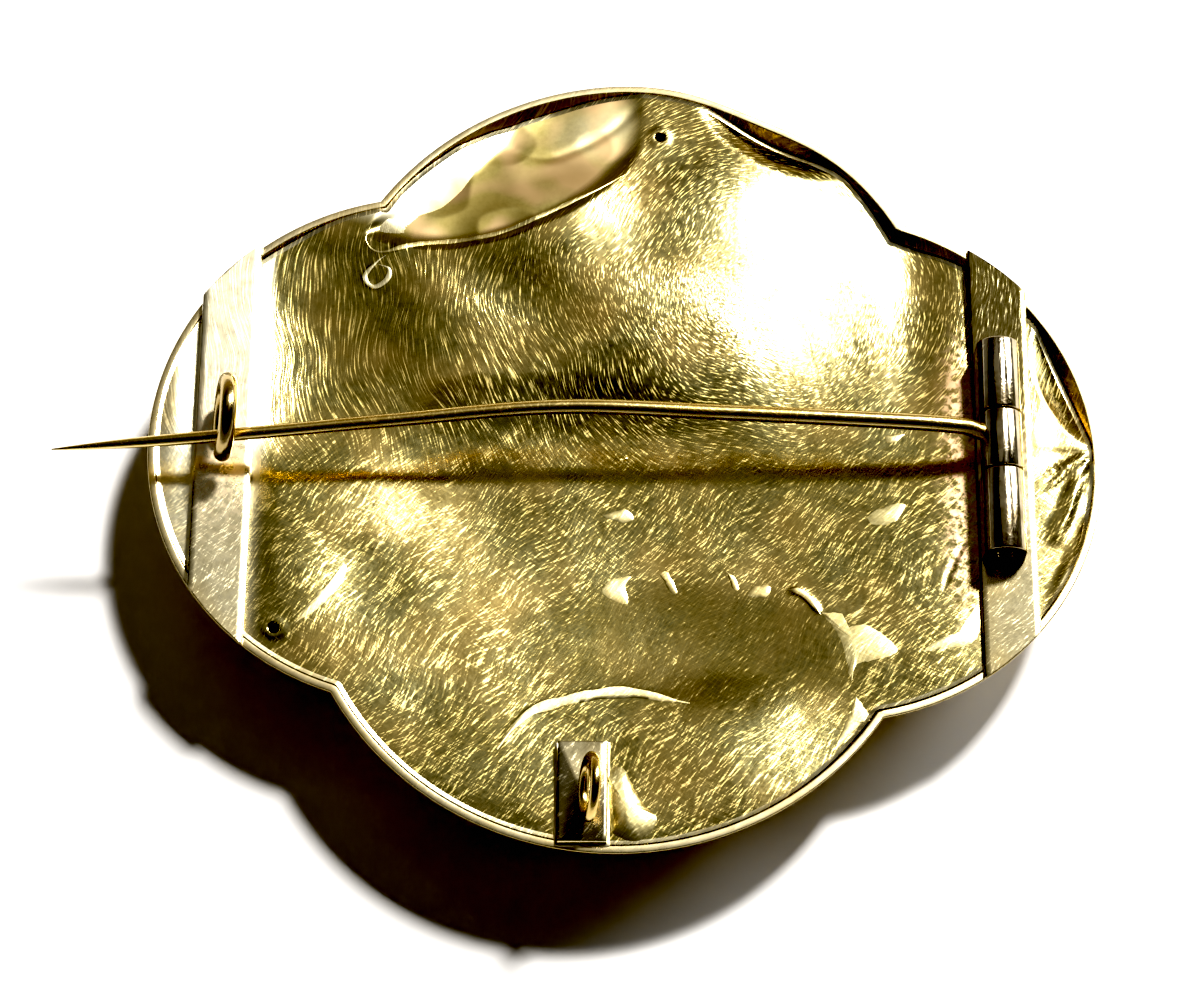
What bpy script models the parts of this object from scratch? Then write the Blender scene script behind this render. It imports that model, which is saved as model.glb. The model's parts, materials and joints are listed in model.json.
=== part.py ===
"""Hollow gold brooch lying on its face: four-lobed body, C-catch and tube-hinged pin on its back.

X runs along the pin to its hinge, Y across the back and Z out of the back.
The origin is on the flat reserve of the front, under the middle of the outline.
"""
import math

import bmesh
import bpy
from mathutils import Vector

MM = 0.001

# Body: a pressed front, a wall that leans out from it and a thin back let in level with the wall's rim
BODY_WIDTH = 50.2 * MM
BODY_HEIGHT = 43.8 * MM
BODY_DEPTH = 6.4 * MM
END_LOBE_RADIUS = 14.5 * MM
SIDE_LOBE_RADIUS = 16.65 * MM
END_LOBES_SKEW = math.radians(-2.1)
SIDE_LOBES_SKEW = math.radians(-5.1)
EDGE_KNOCK_DEPTH = 0.5 * MM
EDGE_KNOCK_TURN = math.radians(70)
EDGE_KNOCK_SPREAD = math.radians(11)
SHEET = 0.2 * MM
SEAM = 0.05 * MM
WALL_THICKNESS = 0.42 * MM
WALL_HEIGHT = 2.9 * MM
WALL_LEAN = 1.5 * MM
RIM_CHAMFER = 0.1 * MM
BACK_RECESS = 0.06 * MM
VENT_RADIUS = 0.28 * MM
VENT_PLACES = ((1.9 * MM, 18.7 * MM), (-18.0 * MM, -10.0 * MM), (-0.2 * MM, -20.1 * MM))

# Front: share of the way in from the outline, and height above the reserve
FRONT_PROFILE = (
    (0.00, 2.9 * MM),
    (0.075, 2.9 * MM),
    (0.095, 2.3 * MM),
    (0.15, 1.95 * MM),
    (0.24, 1.45 * MM),
    (0.34, 1.05 * MM),
    (0.44, 0.8 * MM),
    (0.52, 0.72 * MM),
    (0.545, 0.3 * MM),
    (0.575, 0.05 * MM),
    (0.60, 0.0 * MM),
)
LOBES_FADE_FROM = 0.12
LOBES_FADE_TO = 0.50
BORDER_WIRE_RADIUS = 0.42 * MM
BORDER_WIRE_INSET = 0.75 * MM

# Dents of the back: middle, length, width, turn, depth, edge (from 1, crisp, to 2, soft)
DENTS = (
    (8.8 * MM, 19.9 * MM, 11.2 * MM, 6.6 * MM, math.radians(-28), 1.4 * MM, 2),
    (24.4 * MM, 4.6 * MM, 8.4 * MM, 5.0 * MM, math.radians(105), 0.9 * MM, 1),
    (0.0 * MM, -2.0 * MM, 38.0 * MM, 37.0 * MM, 0.0, 1.0 * MM, 1.5),
    (3.9 * MM, -10.9 * MM, 19.0 * MM, 8.4 * MM, math.radians(-4), 0.3 * MM, 2),
)
# Deep dent by the top edge: an oval scoop, and two facets that fall into it from its ends
SCOOP = (-7.6 * MM, 18.0 * MM, 18.4 * MM, 11.6 * MM, math.radians(20))
SCOOP_DEPTH = 0.75 * MM
CREASE_ROUND = 0.1 * MM
# Place where each facet starts, the way it falls and how steeply
SCOOP_FACETS = (
    (-13.0 * MM, 14.4 * MM, math.radians(-37), 0.30),
    (1.2 * MM, 21.0 * MM, math.radians(180), 0.125),
)
# Panels of the back that have rocked over: middle, reach to each side, half width, shear and
# the rise of the left side
ROCKED_PANELS = (
    (8.0 * MM, 9.3 * MM, 7.0 * MM, 8.0 * MM, 0.0, 0.72 * MM),
    (16.8 * MM, 8.5 * MM, 1.4 * MM, 6.0 * MM, 0.0, -0.10 * MM),
    (-12.0 * MM, 6.8 * MM, 4.6 * MM, 2.9 * MM, -0.40, -0.44 * MM),
    (-3.0 * MM, 7.6 * MM, 2.4 * MM, 3.0 * MM, 0.0, -0.14 * MM),
    (-2.6 * MM, 12.8 * MM, 4.2 * MM, 2.2 * MM, 0.0, 0.34 * MM),
    (-18.6 * MM, 4.2 * MM, 2.8 * MM, 3.4 * MM, 0.0, 0.26 * MM),
    (-12.0 * MM, -3.4 * MM, 4.5 * MM, 1.8 * MM, 0.0, 0.18 * MM),
    (8.5 * MM, -16.0 * MM, 3.6 * MM, 3.5 * MM, 0.0, 0.22 * MM),
    (-15.2 * MM, -7.9 * MM, 2.2 * MM, 3.0 * MM, 0.0, 0.11 * MM),
)
# Distance from a strap or the pad within which its solder holds the back down
HELD_BY_SOLDER = 1.6 * MM
# Depth from which a hollow of the back runs on under a strap
HOLLOW_DEPTH = 0.12 * MM

# Straps soldered across the back
STRAP_THICKNESS = 0.4 * MM
STRAP_BEVEL = 0.08 * MM
CATCH_STRAP_X = -21.04 * MM
HINGE_STRAP_X = 19.96 * MM
STRAP_WIDTH = 3.0 * MM

# Hinge tube, its rivet and the pin
HINGE_X = 19.65 * MM
TUBE_RADIUS = 1.1 * MM
BORE_RADIUS = 0.5 * MM
RIVET_RADIUS = 0.45 * MM
TUBE_TOP = 5.6 * MM
TUBE_BOTTOM = -6.3 * MM
PIN_KNUCKLE_TOP = 1.6 * MM
PIN_KNUCKLE_BOTTOM = -1.75 * MM
KNUCKLE_GAP = 0.08 * MM
RIVET_RECESS = 0.12 * MM
PIN_ROOT_RADIUS = 0.46 * MM
PIN_CATCH_RADIUS = 0.34 * MM
PIN_POINT_RADIUS = 0.04 * MM
PIN_ROOT_Y = 0.45 * MM
PIN_ROOT_SLOPE = math.radians(164)
PIN_SOCKET_DEPTH = 0.42 * MM
PIN_ROOT_STRAIGHT = 1.32 * MM
# Places the pin passes beyond its root, with heights above the rim
PIN_ROUTE = (
    (17.95 * MM, 0.54 * MM, 2.2 * MM),
    (17.0 * MM, 0.6 * MM, 2.4 * MM),
    (14.0 * MM, 0.74 * MM, 2.55 * MM),
    (5.0 * MM, 1.04 * MM, 2.8 * MM),
    (-3.4 * MM, 1.16 * MM, 3.1 * MM),
    (-12.0 * MM, 0.43 * MM, 2.9 * MM),
    (-19.9 * MM, -0.28 * MM, 2.6 * MM),
    (-29.8 * MM, -0.84 * MM, 1.7 * MM),
)
PIN_SPACING = 1.3 * MM
PIN_POINT_TAPER = 1.5

# C-catch: a bent wire open towards the bottom edge
CATCH_WIRE_RADIUS = 0.45 * MM
CATCH_BEND_RADIUS = 1.9 * MM
CATCH_X = -20.75 * MM
CATCH_Y = 0.55 * MM
CATCH_LEAN = math.radians(12)
CATCH_FOOT_TURN = math.radians(-108)
CATCH_LIP_TURN = math.radians(202)
CATCH_END_TAPER = 0.6
CATCH_STEPS = 26

# Loop for a safety chain, on a pad of its own
PAD_WIDTH = 2.5 * MM
PAD_LENGTH = 5.3 * MM
PAD_X = -2.05 * MM
PAD_Y = -18.75 * MM
LOOP_WIRE_RADIUS = 0.28 * MM
LOOP_BEND_RADIUS = 1.5 * MM
LOOP_X = -1.68 * MM
LOOP_Y = -19.1 * MM
LOOP_LEAN = math.radians(12)
LOOP_STEPS = 28

# Facets
LOBE_STEPS = 20
BACK_RINGS = (1.0, 0.97, 0.92, 0.86, 0.79, 0.72, 0.65, 0.57, 0.49, 0.41, 0.33, 0.25, 0.17, 0.09)
WIRE_SIDES = 8
TUBE_SIDES = 32
VENT_SIDES = 12
STRAP_STEPS = 6
WIRE_RESOLUTION = 2
SHARP_EDGE = math.radians(35)
CUT_EDGE = math.radians(50)

# Finishes: colour, roughness
BODY_GOLD = ((0.80, 0.62, 0.25), 0.30)
WORN_GOLD = ((0.78, 0.66, 0.36), 0.38)
PIN_GOLD = ((0.86, 0.68, 0.28), 0.22)

WALL_FOOT = WALL_HEIGHT + SHEET + SEAM
STRAP_FOOT = BODY_DEPTH + SEAM
STRAP_TOP = STRAP_FOOT + STRAP_THICKNESS
HINGE_Z = STRAP_TOP + SEAM + TUBE_RADIUS


def lobe_circles():
    """Centre and radius of the right, top, left and bottom lobes."""
    end = (BODY_WIDTH / 2 - END_LOBE_RADIUS, END_LOBE_RADIUS, END_LOBES_SKEW)
    side = (BODY_HEIGHT / 2 - SIDE_LOBE_RADIUS, SIDE_LOBE_RADIUS, SIDE_LOBES_SKEW)
    circles = []
    for quarter in range(4):
        reach, radius, skew = side if quarter % 2 else end
        turn = quarter * math.pi / 2 + skew
        circles.append((reach * math.cos(turn), reach * math.sin(turn), radius))
    return circles


LOBES = lobe_circles()


def lobe_reach(lobe, turn, inset):
    """Distance from the body's middle to one lobe's circle, drawn in by an inset."""
    x, y, radius = lobe
    along = x * math.cos(turn) + y * math.sin(turn)
    return along + math.sqrt((radius - inset) ** 2 - x * x - y * y + along * along)


def outline_reach(turn, inset=0.0):
    """Distance from the body's middle to its lobed edge, with the knock on its upper right."""
    off_knock = math.remainder(turn - EDGE_KNOCK_TURN, math.tau) / EDGE_KNOCK_SPREAD
    knock = EDGE_KNOCK_DEPTH * math.exp(-off_knock ** 2)
    return max(lobe_reach(lobe, turn, inset) for lobe in LOBES) - knock


def notch_turn(lobe, following, start):
    """Turn at which one lobe gives way to the following one, found by halving."""
    low = start
    high = start + math.pi / 2
    for _ in range(40):
        middle = (low + high) / 2
        if lobe_reach(lobe, middle, 0.0) > lobe_reach(following, middle, 0.0):
            low = middle
        else:
            high = middle
    return low


def outline_turns():
    """Turns round the outline, evenly spaced within each lobe, with a point in each notch."""
    notches = [notch_turn(LOBES[i], LOBES[(i + 1) % 4], i * math.pi / 2) for i in range(4)]
    notches.append(notches[0] + math.tau)
    turns = []
    for start, end in zip(notches, notches[1:]):
        turns += [start + (end - start) * step / LOBE_STEPS for step in range(LOBE_STEPS)]
    return turns


TURNS = outline_turns()


def outline_loop(inset, height):
    """Level loop of points inside the outline by an even inset."""
    return [polar(outline_reach(turn, inset), turn, height) for turn in TURNS]


def polar(reach, turn, height):
    """Point at a reach and turn about the body's middle."""
    return Vector((reach * math.cos(turn), reach * math.sin(turn), height))


def skin(loops, ring=False):
    """Mesh bridged through equal loops: a ring meets its own start, and any other gets end caps."""
    mesh = bmesh.new()
    rows = [[mesh.verts.new(point) for point in loop] for loop in loops]
    pairs = list(zip(rows, rows[1:]))
    if ring:
        pairs.append((rows[-1], rows[0]))
    else:
        mesh.faces.new(rows[0])
        mesh.faces.new(rows[-1])
    for row, following in pairs:
        for i in range(len(row)):
            mesh.faces.new((row[i - 1], row[i], following[i], following[i - 1]))
    bmesh.ops.recalc_face_normals(mesh, faces=mesh.faces)
    return mesh


def gold(name, finish):
    """Worn gold material of one sub-part."""
    colour, roughness = finish
    material = bpy.data.materials.new(name + "_gold")
    material.use_nodes = True
    shader = material.node_tree.nodes["Principled BSDF"]
    shader.inputs["Base Color"].default_value = (*colour, 1.0)
    shader.inputs["Roughness"].default_value = roughness
    shader.inputs["Metallic"].default_value = 1.0
    return material


def add_solid(name, mesh, finish):
    """Object made from an edit mesh, smooth except at its real edges."""
    data = bpy.data.meshes.new(name)
    mesh.to_mesh(data)
    mesh.free()
    data.shade_smooth()
    data.set_sharp_from_angle(angle=SHARP_EDGE)
    data.materials.append(gold(name, finish))
    solid = bpy.data.objects.new(name, data)
    bpy.context.scene.collection.objects.link(solid)
    return solid


def add_wire(name, points, radii, finish, ring=False):
    """Round wire along points, with a radius at each."""
    data = bpy.data.curves.new(name, "CURVE")
    data.dimensions = "3D"
    data.bevel_depth = 1.0
    data.bevel_resolution = WIRE_RESOLUTION
    data.use_fill_caps = True
    spline = data.splines.new("POLY")
    spline.points.add(len(points) - 1)
    spline.use_cyclic_u = ring
    for spot, point, radius in zip(spline.points, points, radii):
        spot.co = (*point, 1.0)
        spot.radius = radius
    data.materials.append(gold(name, finish))
    wire = bpy.data.objects.new(name, data)
    bpy.context.scene.collection.objects.link(wire)
    return wire


def cut(solid, mesh):
    """Cut an edit mesh out of a solid with a hidden cutter."""
    data = bpy.data.meshes.new(solid.name + "_drill")
    mesh.to_mesh(data)
    mesh.free()
    drill = bpy.data.objects.new(solid.name + "_drill", data)
    drill.hide_render = True
    drill.display_type = "WIRE"
    bpy.context.scene.collection.objects.link(drill)
    boolean = solid.modifiers.new("drill", "BOOLEAN")
    boolean.operation = "DIFFERENCE"
    boolean.object = drill
    return drill


def front_reach(turn, share):
    """Reach of the front's rings, which fade from the lobed outline into a plain oval."""
    long = BODY_WIDTH / 2 - WALL_LEAN
    short = BODY_HEIGHT / 2 - WALL_LEAN
    oval = 1 / math.hypot(math.cos(turn) / long, math.sin(turn) / short)
    fade = min(max((share - LOBES_FADE_FROM) / (LOBES_FADE_TO - LOBES_FADE_FROM), 0.0), 1.0)
    blend = fade * fade * (3 - 2 * fade)
    return (1 - share) * (outline_reach(turn, WALL_LEAN) * (1 - blend) + oval * blend)


def make_front_shell():
    """Pressed front: a flange, a step, a lobed cushion and a raised oval reserve left plain."""
    face = []
    for share, height in FRONT_PROFILE:
        face.append([polar(front_reach(turn, share), turn, height) for turn in TURNS])
    lining = [[point + Vector((0, 0, SHEET)) for point in loop] for loop in face]
    return add_solid("front_shell", skin(face[::-1] + lining), BODY_GOLD)


def make_border_wire():
    """Wire soldered round the front's flange."""
    height = WALL_HEIGHT - SEAM - BORDER_WIRE_RADIUS
    loops = []
    for side in range(WIRE_SIDES):
        lean = math.tau * side / WIRE_SIDES
        inset = WALL_LEAN + BORDER_WIRE_INSET + BORDER_WIRE_RADIUS * math.cos(lean)
        loops.append(outline_loop(inset, height + BORDER_WIRE_RADIUS * math.sin(lean)))
    return add_solid("front_border_wire", skin(loops, ring=True), BODY_GOLD)


def wall_inset(height):
    """How far inside the outline the leaning wall's outer face is at a height."""
    return WALL_LEAN * (BODY_DEPTH - height) / (BODY_DEPTH - WALL_FOOT)


def make_side_wall():
    """Wall bent round the body's edge, leaning in to the front, its rim eased on both sides."""
    eased = BODY_DEPTH - RIM_CHAMFER
    loops = [
        outline_loop(WALL_LEAN, WALL_FOOT),
        outline_loop(wall_inset(eased), eased),
        outline_loop(RIM_CHAMFER, BODY_DEPTH),
        outline_loop(WALL_THICKNESS - RIM_CHAMFER, BODY_DEPTH),
        outline_loop(WALL_THICKNESS + wall_inset(eased), eased),
        outline_loop(WALL_THICKNESS + WALL_LEAN, WALL_FOOT),
    ]
    return add_solid("side_wall", skin(loops, ring=True), BODY_GOLD)


def dent_share(x, y, middle_x, middle_y, length, width, turn):
    """How far inside an oval dent a place is: one at its middle, none at its edge."""
    along = (x - middle_x) * math.cos(turn) + (y - middle_y) * math.sin(turn)
    across = (y - middle_y) * math.cos(turn) - (x - middle_x) * math.sin(turn)
    return max(1 - (2 * along / length) ** 2 - (2 * across / width) ** 2, 0.0)


def creased(first, second):
    """The lesser of two depths, rounded where they meet in a crease."""
    meeting = max(1 - abs(first - second) / CREASE_ROUND, 0.0)
    return min(first, second) - CREASE_ROUND * meeting ** 2 / 4


def dent_depth(x, y):
    """Depth below its first level that the back has been knocked to."""
    depth = SCOOP_DEPTH * dent_share(x, y, *SCOOP)
    for start_x, start_y, way, fall in SCOOP_FACETS:
        fallen = (x - start_x) * math.cos(way) + (y - start_y) * math.sin(way)
        depth = creased(depth, fall * fallen)
    depth = max(depth, 0.0)
    for *oval, deepest, edge in DENTS:
        depth += deepest * dent_share(x, y, *oval) ** edge
    return depth


def panel_rise(x, y):
    """Lift of the panels that have rocked over: high on their left, low on their right."""
    lift = 0.0
    for middle_x, middle_y, reach, half_width, shear, rise in ROCKED_PANELS:
        across = (x - middle_x) / reach
        up = (y - middle_y - shear * (x - middle_x)) / half_width
        lift -= rise * across * math.exp((1 - across ** 2) / 2 - up ** 4)
    return lift


def free_share(x, y):
    """None where solder holds the back down under a strap or the pad, one well clear of them."""
    clear = min(abs(x - strap_x) for strap_x in (CATCH_STRAP_X, HINGE_STRAP_X)) - STRAP_WIDTH / 2
    pad_clear = max(abs(x - PAD_X) - PAD_WIDTH / 2, abs(y - PAD_Y) - PAD_LENGTH / 2)
    share = min(max(min(clear, pad_clear) / HELD_BY_SOLDER, 0.0), 1.0)
    return share * share * (3 - 2 * share)


def back_height(x, y):
    """Height of the back's outside."""
    lift = panel_rise(x, y)
    free = free_share(x, y)
    hollow = min(max(-lift / HOLLOW_DEPTH, 0.0), 1.0)
    lift *= free + (1 - free) * hollow
    return BODY_DEPTH - BACK_RECESS + lift - dent_depth(x, y)


def back_edge_reach(turn):
    """Reach of the back's edge, which lies against the leaning wall at the depth it is knocked to."""
    inset = WALL_THICKNESS + SEAM
    for _ in range(6):
        edge = polar(outline_reach(turn, inset), turn, 0.0)
        inset = WALL_THICKNESS + SEAM + wall_inset(back_height(edge.x, edge.y) - SHEET)
    return outline_reach(turn, inset)


def make_back_plate():
    """Thin dented back inside the rim, pierced by the vents that let the solder's air out."""
    edges = [back_edge_reach(turn) for turn in TURNS]
    face = []
    for share in BACK_RINGS:
        loop = []
        for turn, edge in zip(TURNS, edges):
            point = polar(share * edge, turn, 0.0)
            point.z = back_height(point.x, point.y)
            loop.append(point)
        face.append(loop)
    lining = [[point - Vector((0, 0, SHEET)) for point in loop] for loop in face]
    plate = add_solid("back_plate", skin(lining[::-1] + face), BODY_GOLD)
    drills = bmesh.new()
    for x, y in VENT_PLACES:
        foot = Vector((x, y, WALL_FOOT))
        ends = [foot, Vector((x, y, STRAP_TOP))]
        add_rod(drills, ends, VENT_RADIUS, VENT_SIDES)
    cut(plate, drills)
    return plate


def add_rod(mesh, ends, radius, sides):
    """Add a closed round rod between two ends to an edit mesh."""
    start, end = ends
    made = bmesh.ops.create_cone(
        mesh, cap_ends=True, segments=sides, radius1=radius, radius2=radius, depth=(end - start).length
    )
    turn = (end - start).to_track_quat("Z", "Y")
    for vert in made["verts"]:
        vert.co = turn @ vert.co + (start + end) / 2


def make_strap(name, middle_x, lobe):
    """Strap across an end lobe, its ends cut flush with the outline."""
    lobe_x, lobe_y, radius = lobe
    upper = []
    lower = []
    for step in range(STRAP_STEPS + 1):
        x = middle_x + STRAP_WIDTH * (step / STRAP_STEPS - 0.5)
        half = math.sqrt(radius ** 2 - (x - lobe_x) ** 2)
        upper.append(Vector((x, lobe_y + half, STRAP_FOOT)))
        lower.append(Vector((x, lobe_y - half, STRAP_FOOT)))
    foot = lower + upper[::-1]
    top = [point + Vector((0, 0, STRAP_THICKNESS)) for point in foot]
    strap = add_solid(name, skin([foot, top]), WORN_GOLD)
    ease_edges(strap)
    return strap


def ease_edges(solid):
    """Round off a cut strip's edges with a narrow bevel."""
    bevel = solid.modifiers.new("eased_edges", "BEVEL")
    bevel.width = STRAP_BEVEL
    bevel.segments = 1
    bevel.limit_method = "ANGLE"
    bevel.angle_limit = CUT_EDGE


def knuckle_reach(turn, soldered):
    """Reach of a knuckle's outside: round, or flared into a solder foot on the strap below."""
    if not soldered:
        return TUBE_RADIUS
    off_down = abs(math.remainder(turn + math.pi / 2, math.tau))
    corner = math.radians(45)
    flare_end = math.radians(85)
    if off_down <= corner:
        return TUBE_RADIUS / math.cos(off_down)
    flare = max(1 - (off_down - corner) / (flare_end - corner), 0.0)
    return TUBE_RADIUS * (1 + (1 / math.cos(corner) - 1) * flare ** 2)


def knuckle_loops(bottom, top, soldered):
    """Loops of a length of hinge tube about its axis, outside and bore."""
    turns = [math.tau * side / TUBE_SIDES for side in range(TUBE_SIDES)]
    outside = [knuckle_reach(turn, soldered) for turn in turns]
    bore = [BORE_RADIUS] * TUBE_SIDES
    loops = []
    for y, reaches in ((bottom, outside), (top, outside), (top, bore), (bottom, bore)):
        loops.append([Vector((r * math.cos(t), y, r * math.sin(t))) for r, t in zip(reaches, turns)])
    return loops


def make_knuckle(name, bottom, top):
    """Fixed knuckle soldered to the hinge strap."""
    knuckle = add_solid(name, skin(knuckle_loops(bottom, top, True), ring=True), WORN_GOLD)
    knuckle.location = (HINGE_X, 0, HINGE_Z)
    return knuckle


def make_rivet():
    """Rivet through the three knuckles, peened just inside the tube's ends."""
    mesh = bmesh.new()
    ends = [Vector((0, TUBE_BOTTOM + RIVET_RECESS, 0)), Vector((0, TUBE_TOP - RIVET_RECESS, 0))]
    add_rod(mesh, ends, RIVET_RADIUS, TUBE_SIDES)
    rivet = add_solid("hinge_rivet", mesh, WORN_GOLD)
    rivet.location = (HINGE_X, 0, HINGE_Z)
    return rivet


def make_pin_knuckle(axis):
    """Knuckle that turns on the rivet, with a socket for the pin's root."""
    bottom = PIN_KNUCKLE_BOTTOM + KNUCKLE_GAP
    top = PIN_KNUCKLE_TOP - KNUCKLE_GAP
    knuckle = add_solid("pin_knuckle", skin(knuckle_loops(bottom, top, False), ring=True), PIN_GOLD)
    knuckle.parent = axis
    socket = bmesh.new()
    ends = [pin_root(TUBE_RADIUS - PIN_SOCKET_DEPTH), pin_root(2 * TUBE_RADIUS)]
    add_rod(socket, ends, PIN_ROOT_RADIUS + SEAM, VENT_SIDES)
    cut(knuckle, socket).parent = axis
    return knuckle


def pin_root(reach):
    """Point on the line that the pin's root takes out of its knuckle, from the hinge axis."""
    return Vector((reach * math.cos(PIN_ROOT_SLOPE), PIN_ROOT_Y, reach * math.sin(PIN_ROOT_SLOPE)))


def smooth_route(places, spacing):
    """Evenly stepped points on a smooth curve through all the places."""
    ends = [2 * places[0] - places[1], *places, 2 * places[-1] - places[-2]]
    points = []
    for before, start, end, after in zip(ends, ends[1:], ends[2:], ends[3:]):
        steps = max(2, round((end - start).length / spacing))
        for step in range(steps):
            t = step / steps
            bend = (end - before) * t + (2 * before - 5 * start + 4 * end - after) * t ** 2
            bend += (3 * start - 3 * end + after - before) * t ** 3
            points.append(start + bend / 2)
    return points + [places[-1]]


def make_pin_stem(axis):
    """Pin wire from its root in the knuckle, bowed over the back, to its point beyond the catch."""
    hinge = Vector((HINGE_X, 0, HINGE_Z - BODY_DEPTH))
    places = [pin_root(TUBE_RADIUS - PIN_SOCKET_DEPTH + SEAM), pin_root(PIN_ROOT_STRAIGHT)]
    places += [Vector(place) - hinge for place in PIN_ROUTE]
    points = smooth_route(places, PIN_SPACING)
    catch = places[-2].x
    point = places[-1].x
    radii = []
    for spot in points:
        if spot.x > catch:
            share = spot.x / catch
            radii.append(PIN_ROOT_RADIUS + (PIN_CATCH_RADIUS - PIN_ROOT_RADIUS) * share)
        else:
            share = (spot.x - catch) / (point - catch)
            radii.append(PIN_CATCH_RADIUS + (PIN_POINT_RADIUS - PIN_CATCH_RADIUS) * share ** PIN_POINT_TAPER)
    stem = add_wire("pin_stem", points, radii, PIN_GOLD)
    stem.parent = axis
    return stem


def bent_arc(middle, radius, lean, turns):
    """Points of a wire bent to an arc across the pin, leaning over along it."""
    points = []
    for turn in turns:
        height = radius * math.sin(turn)
        bend = Vector((height * math.sin(lean), radius * math.cos(turn), height * math.cos(lean)))
        points.append(middle + bend)
    return points


def make_catch():
    """C-catch: its foot lies on the strap, and its lip comes down outside the pin."""
    sweep = CATCH_LIP_TURN - CATCH_FOOT_TURN
    turns = [CATCH_FOOT_TURN + sweep * step / CATCH_STEPS for step in range(CATCH_STEPS + 1)]
    middle = Vector((CATCH_X, CATCH_Y, STRAP_TOP + SEAM + CATCH_BEND_RADIUS + CATCH_WIRE_RADIUS))
    radii = [CATCH_WIRE_RADIUS] * len(turns)
    for lip in (0, -1):
        radii[lip] *= CATCH_END_TAPER
    return add_wire("c_catch", bent_arc(middle, CATCH_BEND_RADIUS, CATCH_LEAN, turns), radii, WORN_GOLD)


def make_loop():
    """Closed wire loop standing on its pad."""
    turns = [math.tau * step / LOOP_STEPS for step in range(LOOP_STEPS)]
    middle = Vector((LOOP_X, LOOP_Y, STRAP_TOP + SEAM + LOOP_BEND_RADIUS + LOOP_WIRE_RADIUS))
    points = bent_arc(middle, LOOP_BEND_RADIUS, LOOP_LEAN, turns)
    return add_wire("pendant_loop", points, [LOOP_WIRE_RADIUS] * LOOP_STEPS, BODY_GOLD, ring=True)


def make_pad():
    """Small plate soldered near the bottom edge to carry the loop."""
    foot = []
    for along, up in ((-1, -1), (1, -1), (1, 1), (-1, 1)):
        foot.append(Vector((PAD_X + along * PAD_WIDTH / 2, PAD_Y + up * PAD_LENGTH / 2, STRAP_FOOT)))
    top = [point + Vector((0, 0, STRAP_THICKNESS)) for point in foot]
    pad = add_solid("loop_pad", skin([foot, top]), WORN_GOLD)
    ease_edges(pad)
    return pad


def clear_scene():
    """Remove whatever the scene holds."""
    for item in list(bpy.data.objects):
        bpy.data.objects.remove(item)


clear_scene()
make_front_shell()
make_border_wire()
make_side_wall()
make_back_plate()
make_strap("catch_strap", CATCH_STRAP_X, LOBES[2])
make_strap("hinge_strap", HINGE_STRAP_X, LOBES[0])
make_catch()
make_knuckle("hinge_knuckle_lower", TUBE_BOTTOM, PIN_KNUCKLE_BOTTOM)
make_knuckle("hinge_knuckle_upper", PIN_KNUCKLE_TOP, TUBE_TOP)
make_rivet()
pin_axis = bpy.data.objects.new("pin_axis", None)
pin_axis.location = (HINGE_X, 0, HINGE_Z)
bpy.context.scene.collection.objects.link(pin_axis)
make_pin_knuckle(pin_axis)
make_pin_stem(pin_axis)
make_pad()
make_loop()
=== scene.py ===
import json
import math

import bpy
import numpy as np
from mathutils import Matrix, Vector, noise


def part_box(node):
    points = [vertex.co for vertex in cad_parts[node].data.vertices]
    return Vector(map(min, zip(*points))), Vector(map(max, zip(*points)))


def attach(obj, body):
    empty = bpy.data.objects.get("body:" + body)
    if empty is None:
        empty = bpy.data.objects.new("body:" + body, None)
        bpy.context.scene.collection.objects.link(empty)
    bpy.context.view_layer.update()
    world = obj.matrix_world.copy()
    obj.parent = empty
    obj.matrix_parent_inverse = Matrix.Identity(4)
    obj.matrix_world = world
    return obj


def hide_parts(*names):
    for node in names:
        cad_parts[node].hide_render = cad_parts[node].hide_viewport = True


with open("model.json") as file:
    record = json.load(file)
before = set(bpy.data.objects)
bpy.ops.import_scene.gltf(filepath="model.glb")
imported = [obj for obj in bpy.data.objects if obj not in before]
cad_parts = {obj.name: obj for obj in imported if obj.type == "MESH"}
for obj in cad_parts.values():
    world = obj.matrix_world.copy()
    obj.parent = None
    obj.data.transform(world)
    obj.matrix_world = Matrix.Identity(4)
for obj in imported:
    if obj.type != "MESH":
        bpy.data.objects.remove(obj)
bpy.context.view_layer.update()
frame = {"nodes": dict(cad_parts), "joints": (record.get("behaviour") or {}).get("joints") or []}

MM = 0.001

# Front shell: thin gold sheet pressed in a die, with a flange, a step, a lobed cushion and a
# raised oval reserve left plain. It lies under the brooch, face down, and the wall stands on it.
BODY_WIDTH = 50.2 * MM
BODY_HEIGHT = 43.8 * MM
END_LOBE_RADIUS = 14.5 * MM
SIDE_LOBE_RADIUS = 16.65 * MM
END_LOBES_SKEW = math.radians(-2.1)
SIDE_LOBES_SKEW = math.radians(-5.1)
EDGE_KNOCK_DEPTH = 0.5 * MM
EDGE_KNOCK_TURN = math.radians(70)
EDGE_KNOCK_SPREAD = math.radians(11)
WALL_LEAN = 1.5 * MM
SHEET = 0.2 * MM
FRONT_PROFILE = (
    (0.00, 2.9 * MM),
    (0.075, 2.9 * MM),
    (0.095, 2.3 * MM),
    (0.15, 1.95 * MM),
    (0.24, 1.45 * MM),
    (0.34, 1.05 * MM),
    (0.44, 0.8 * MM),
    (0.52, 0.72 * MM),
    (0.545, 0.3 * MM),
    (0.575, 0.05 * MM),
    (0.60, 0.0 * MM),
)
LOBES_FADE_FROM = 0.12
LOBES_FADE_TO = 0.50


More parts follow.
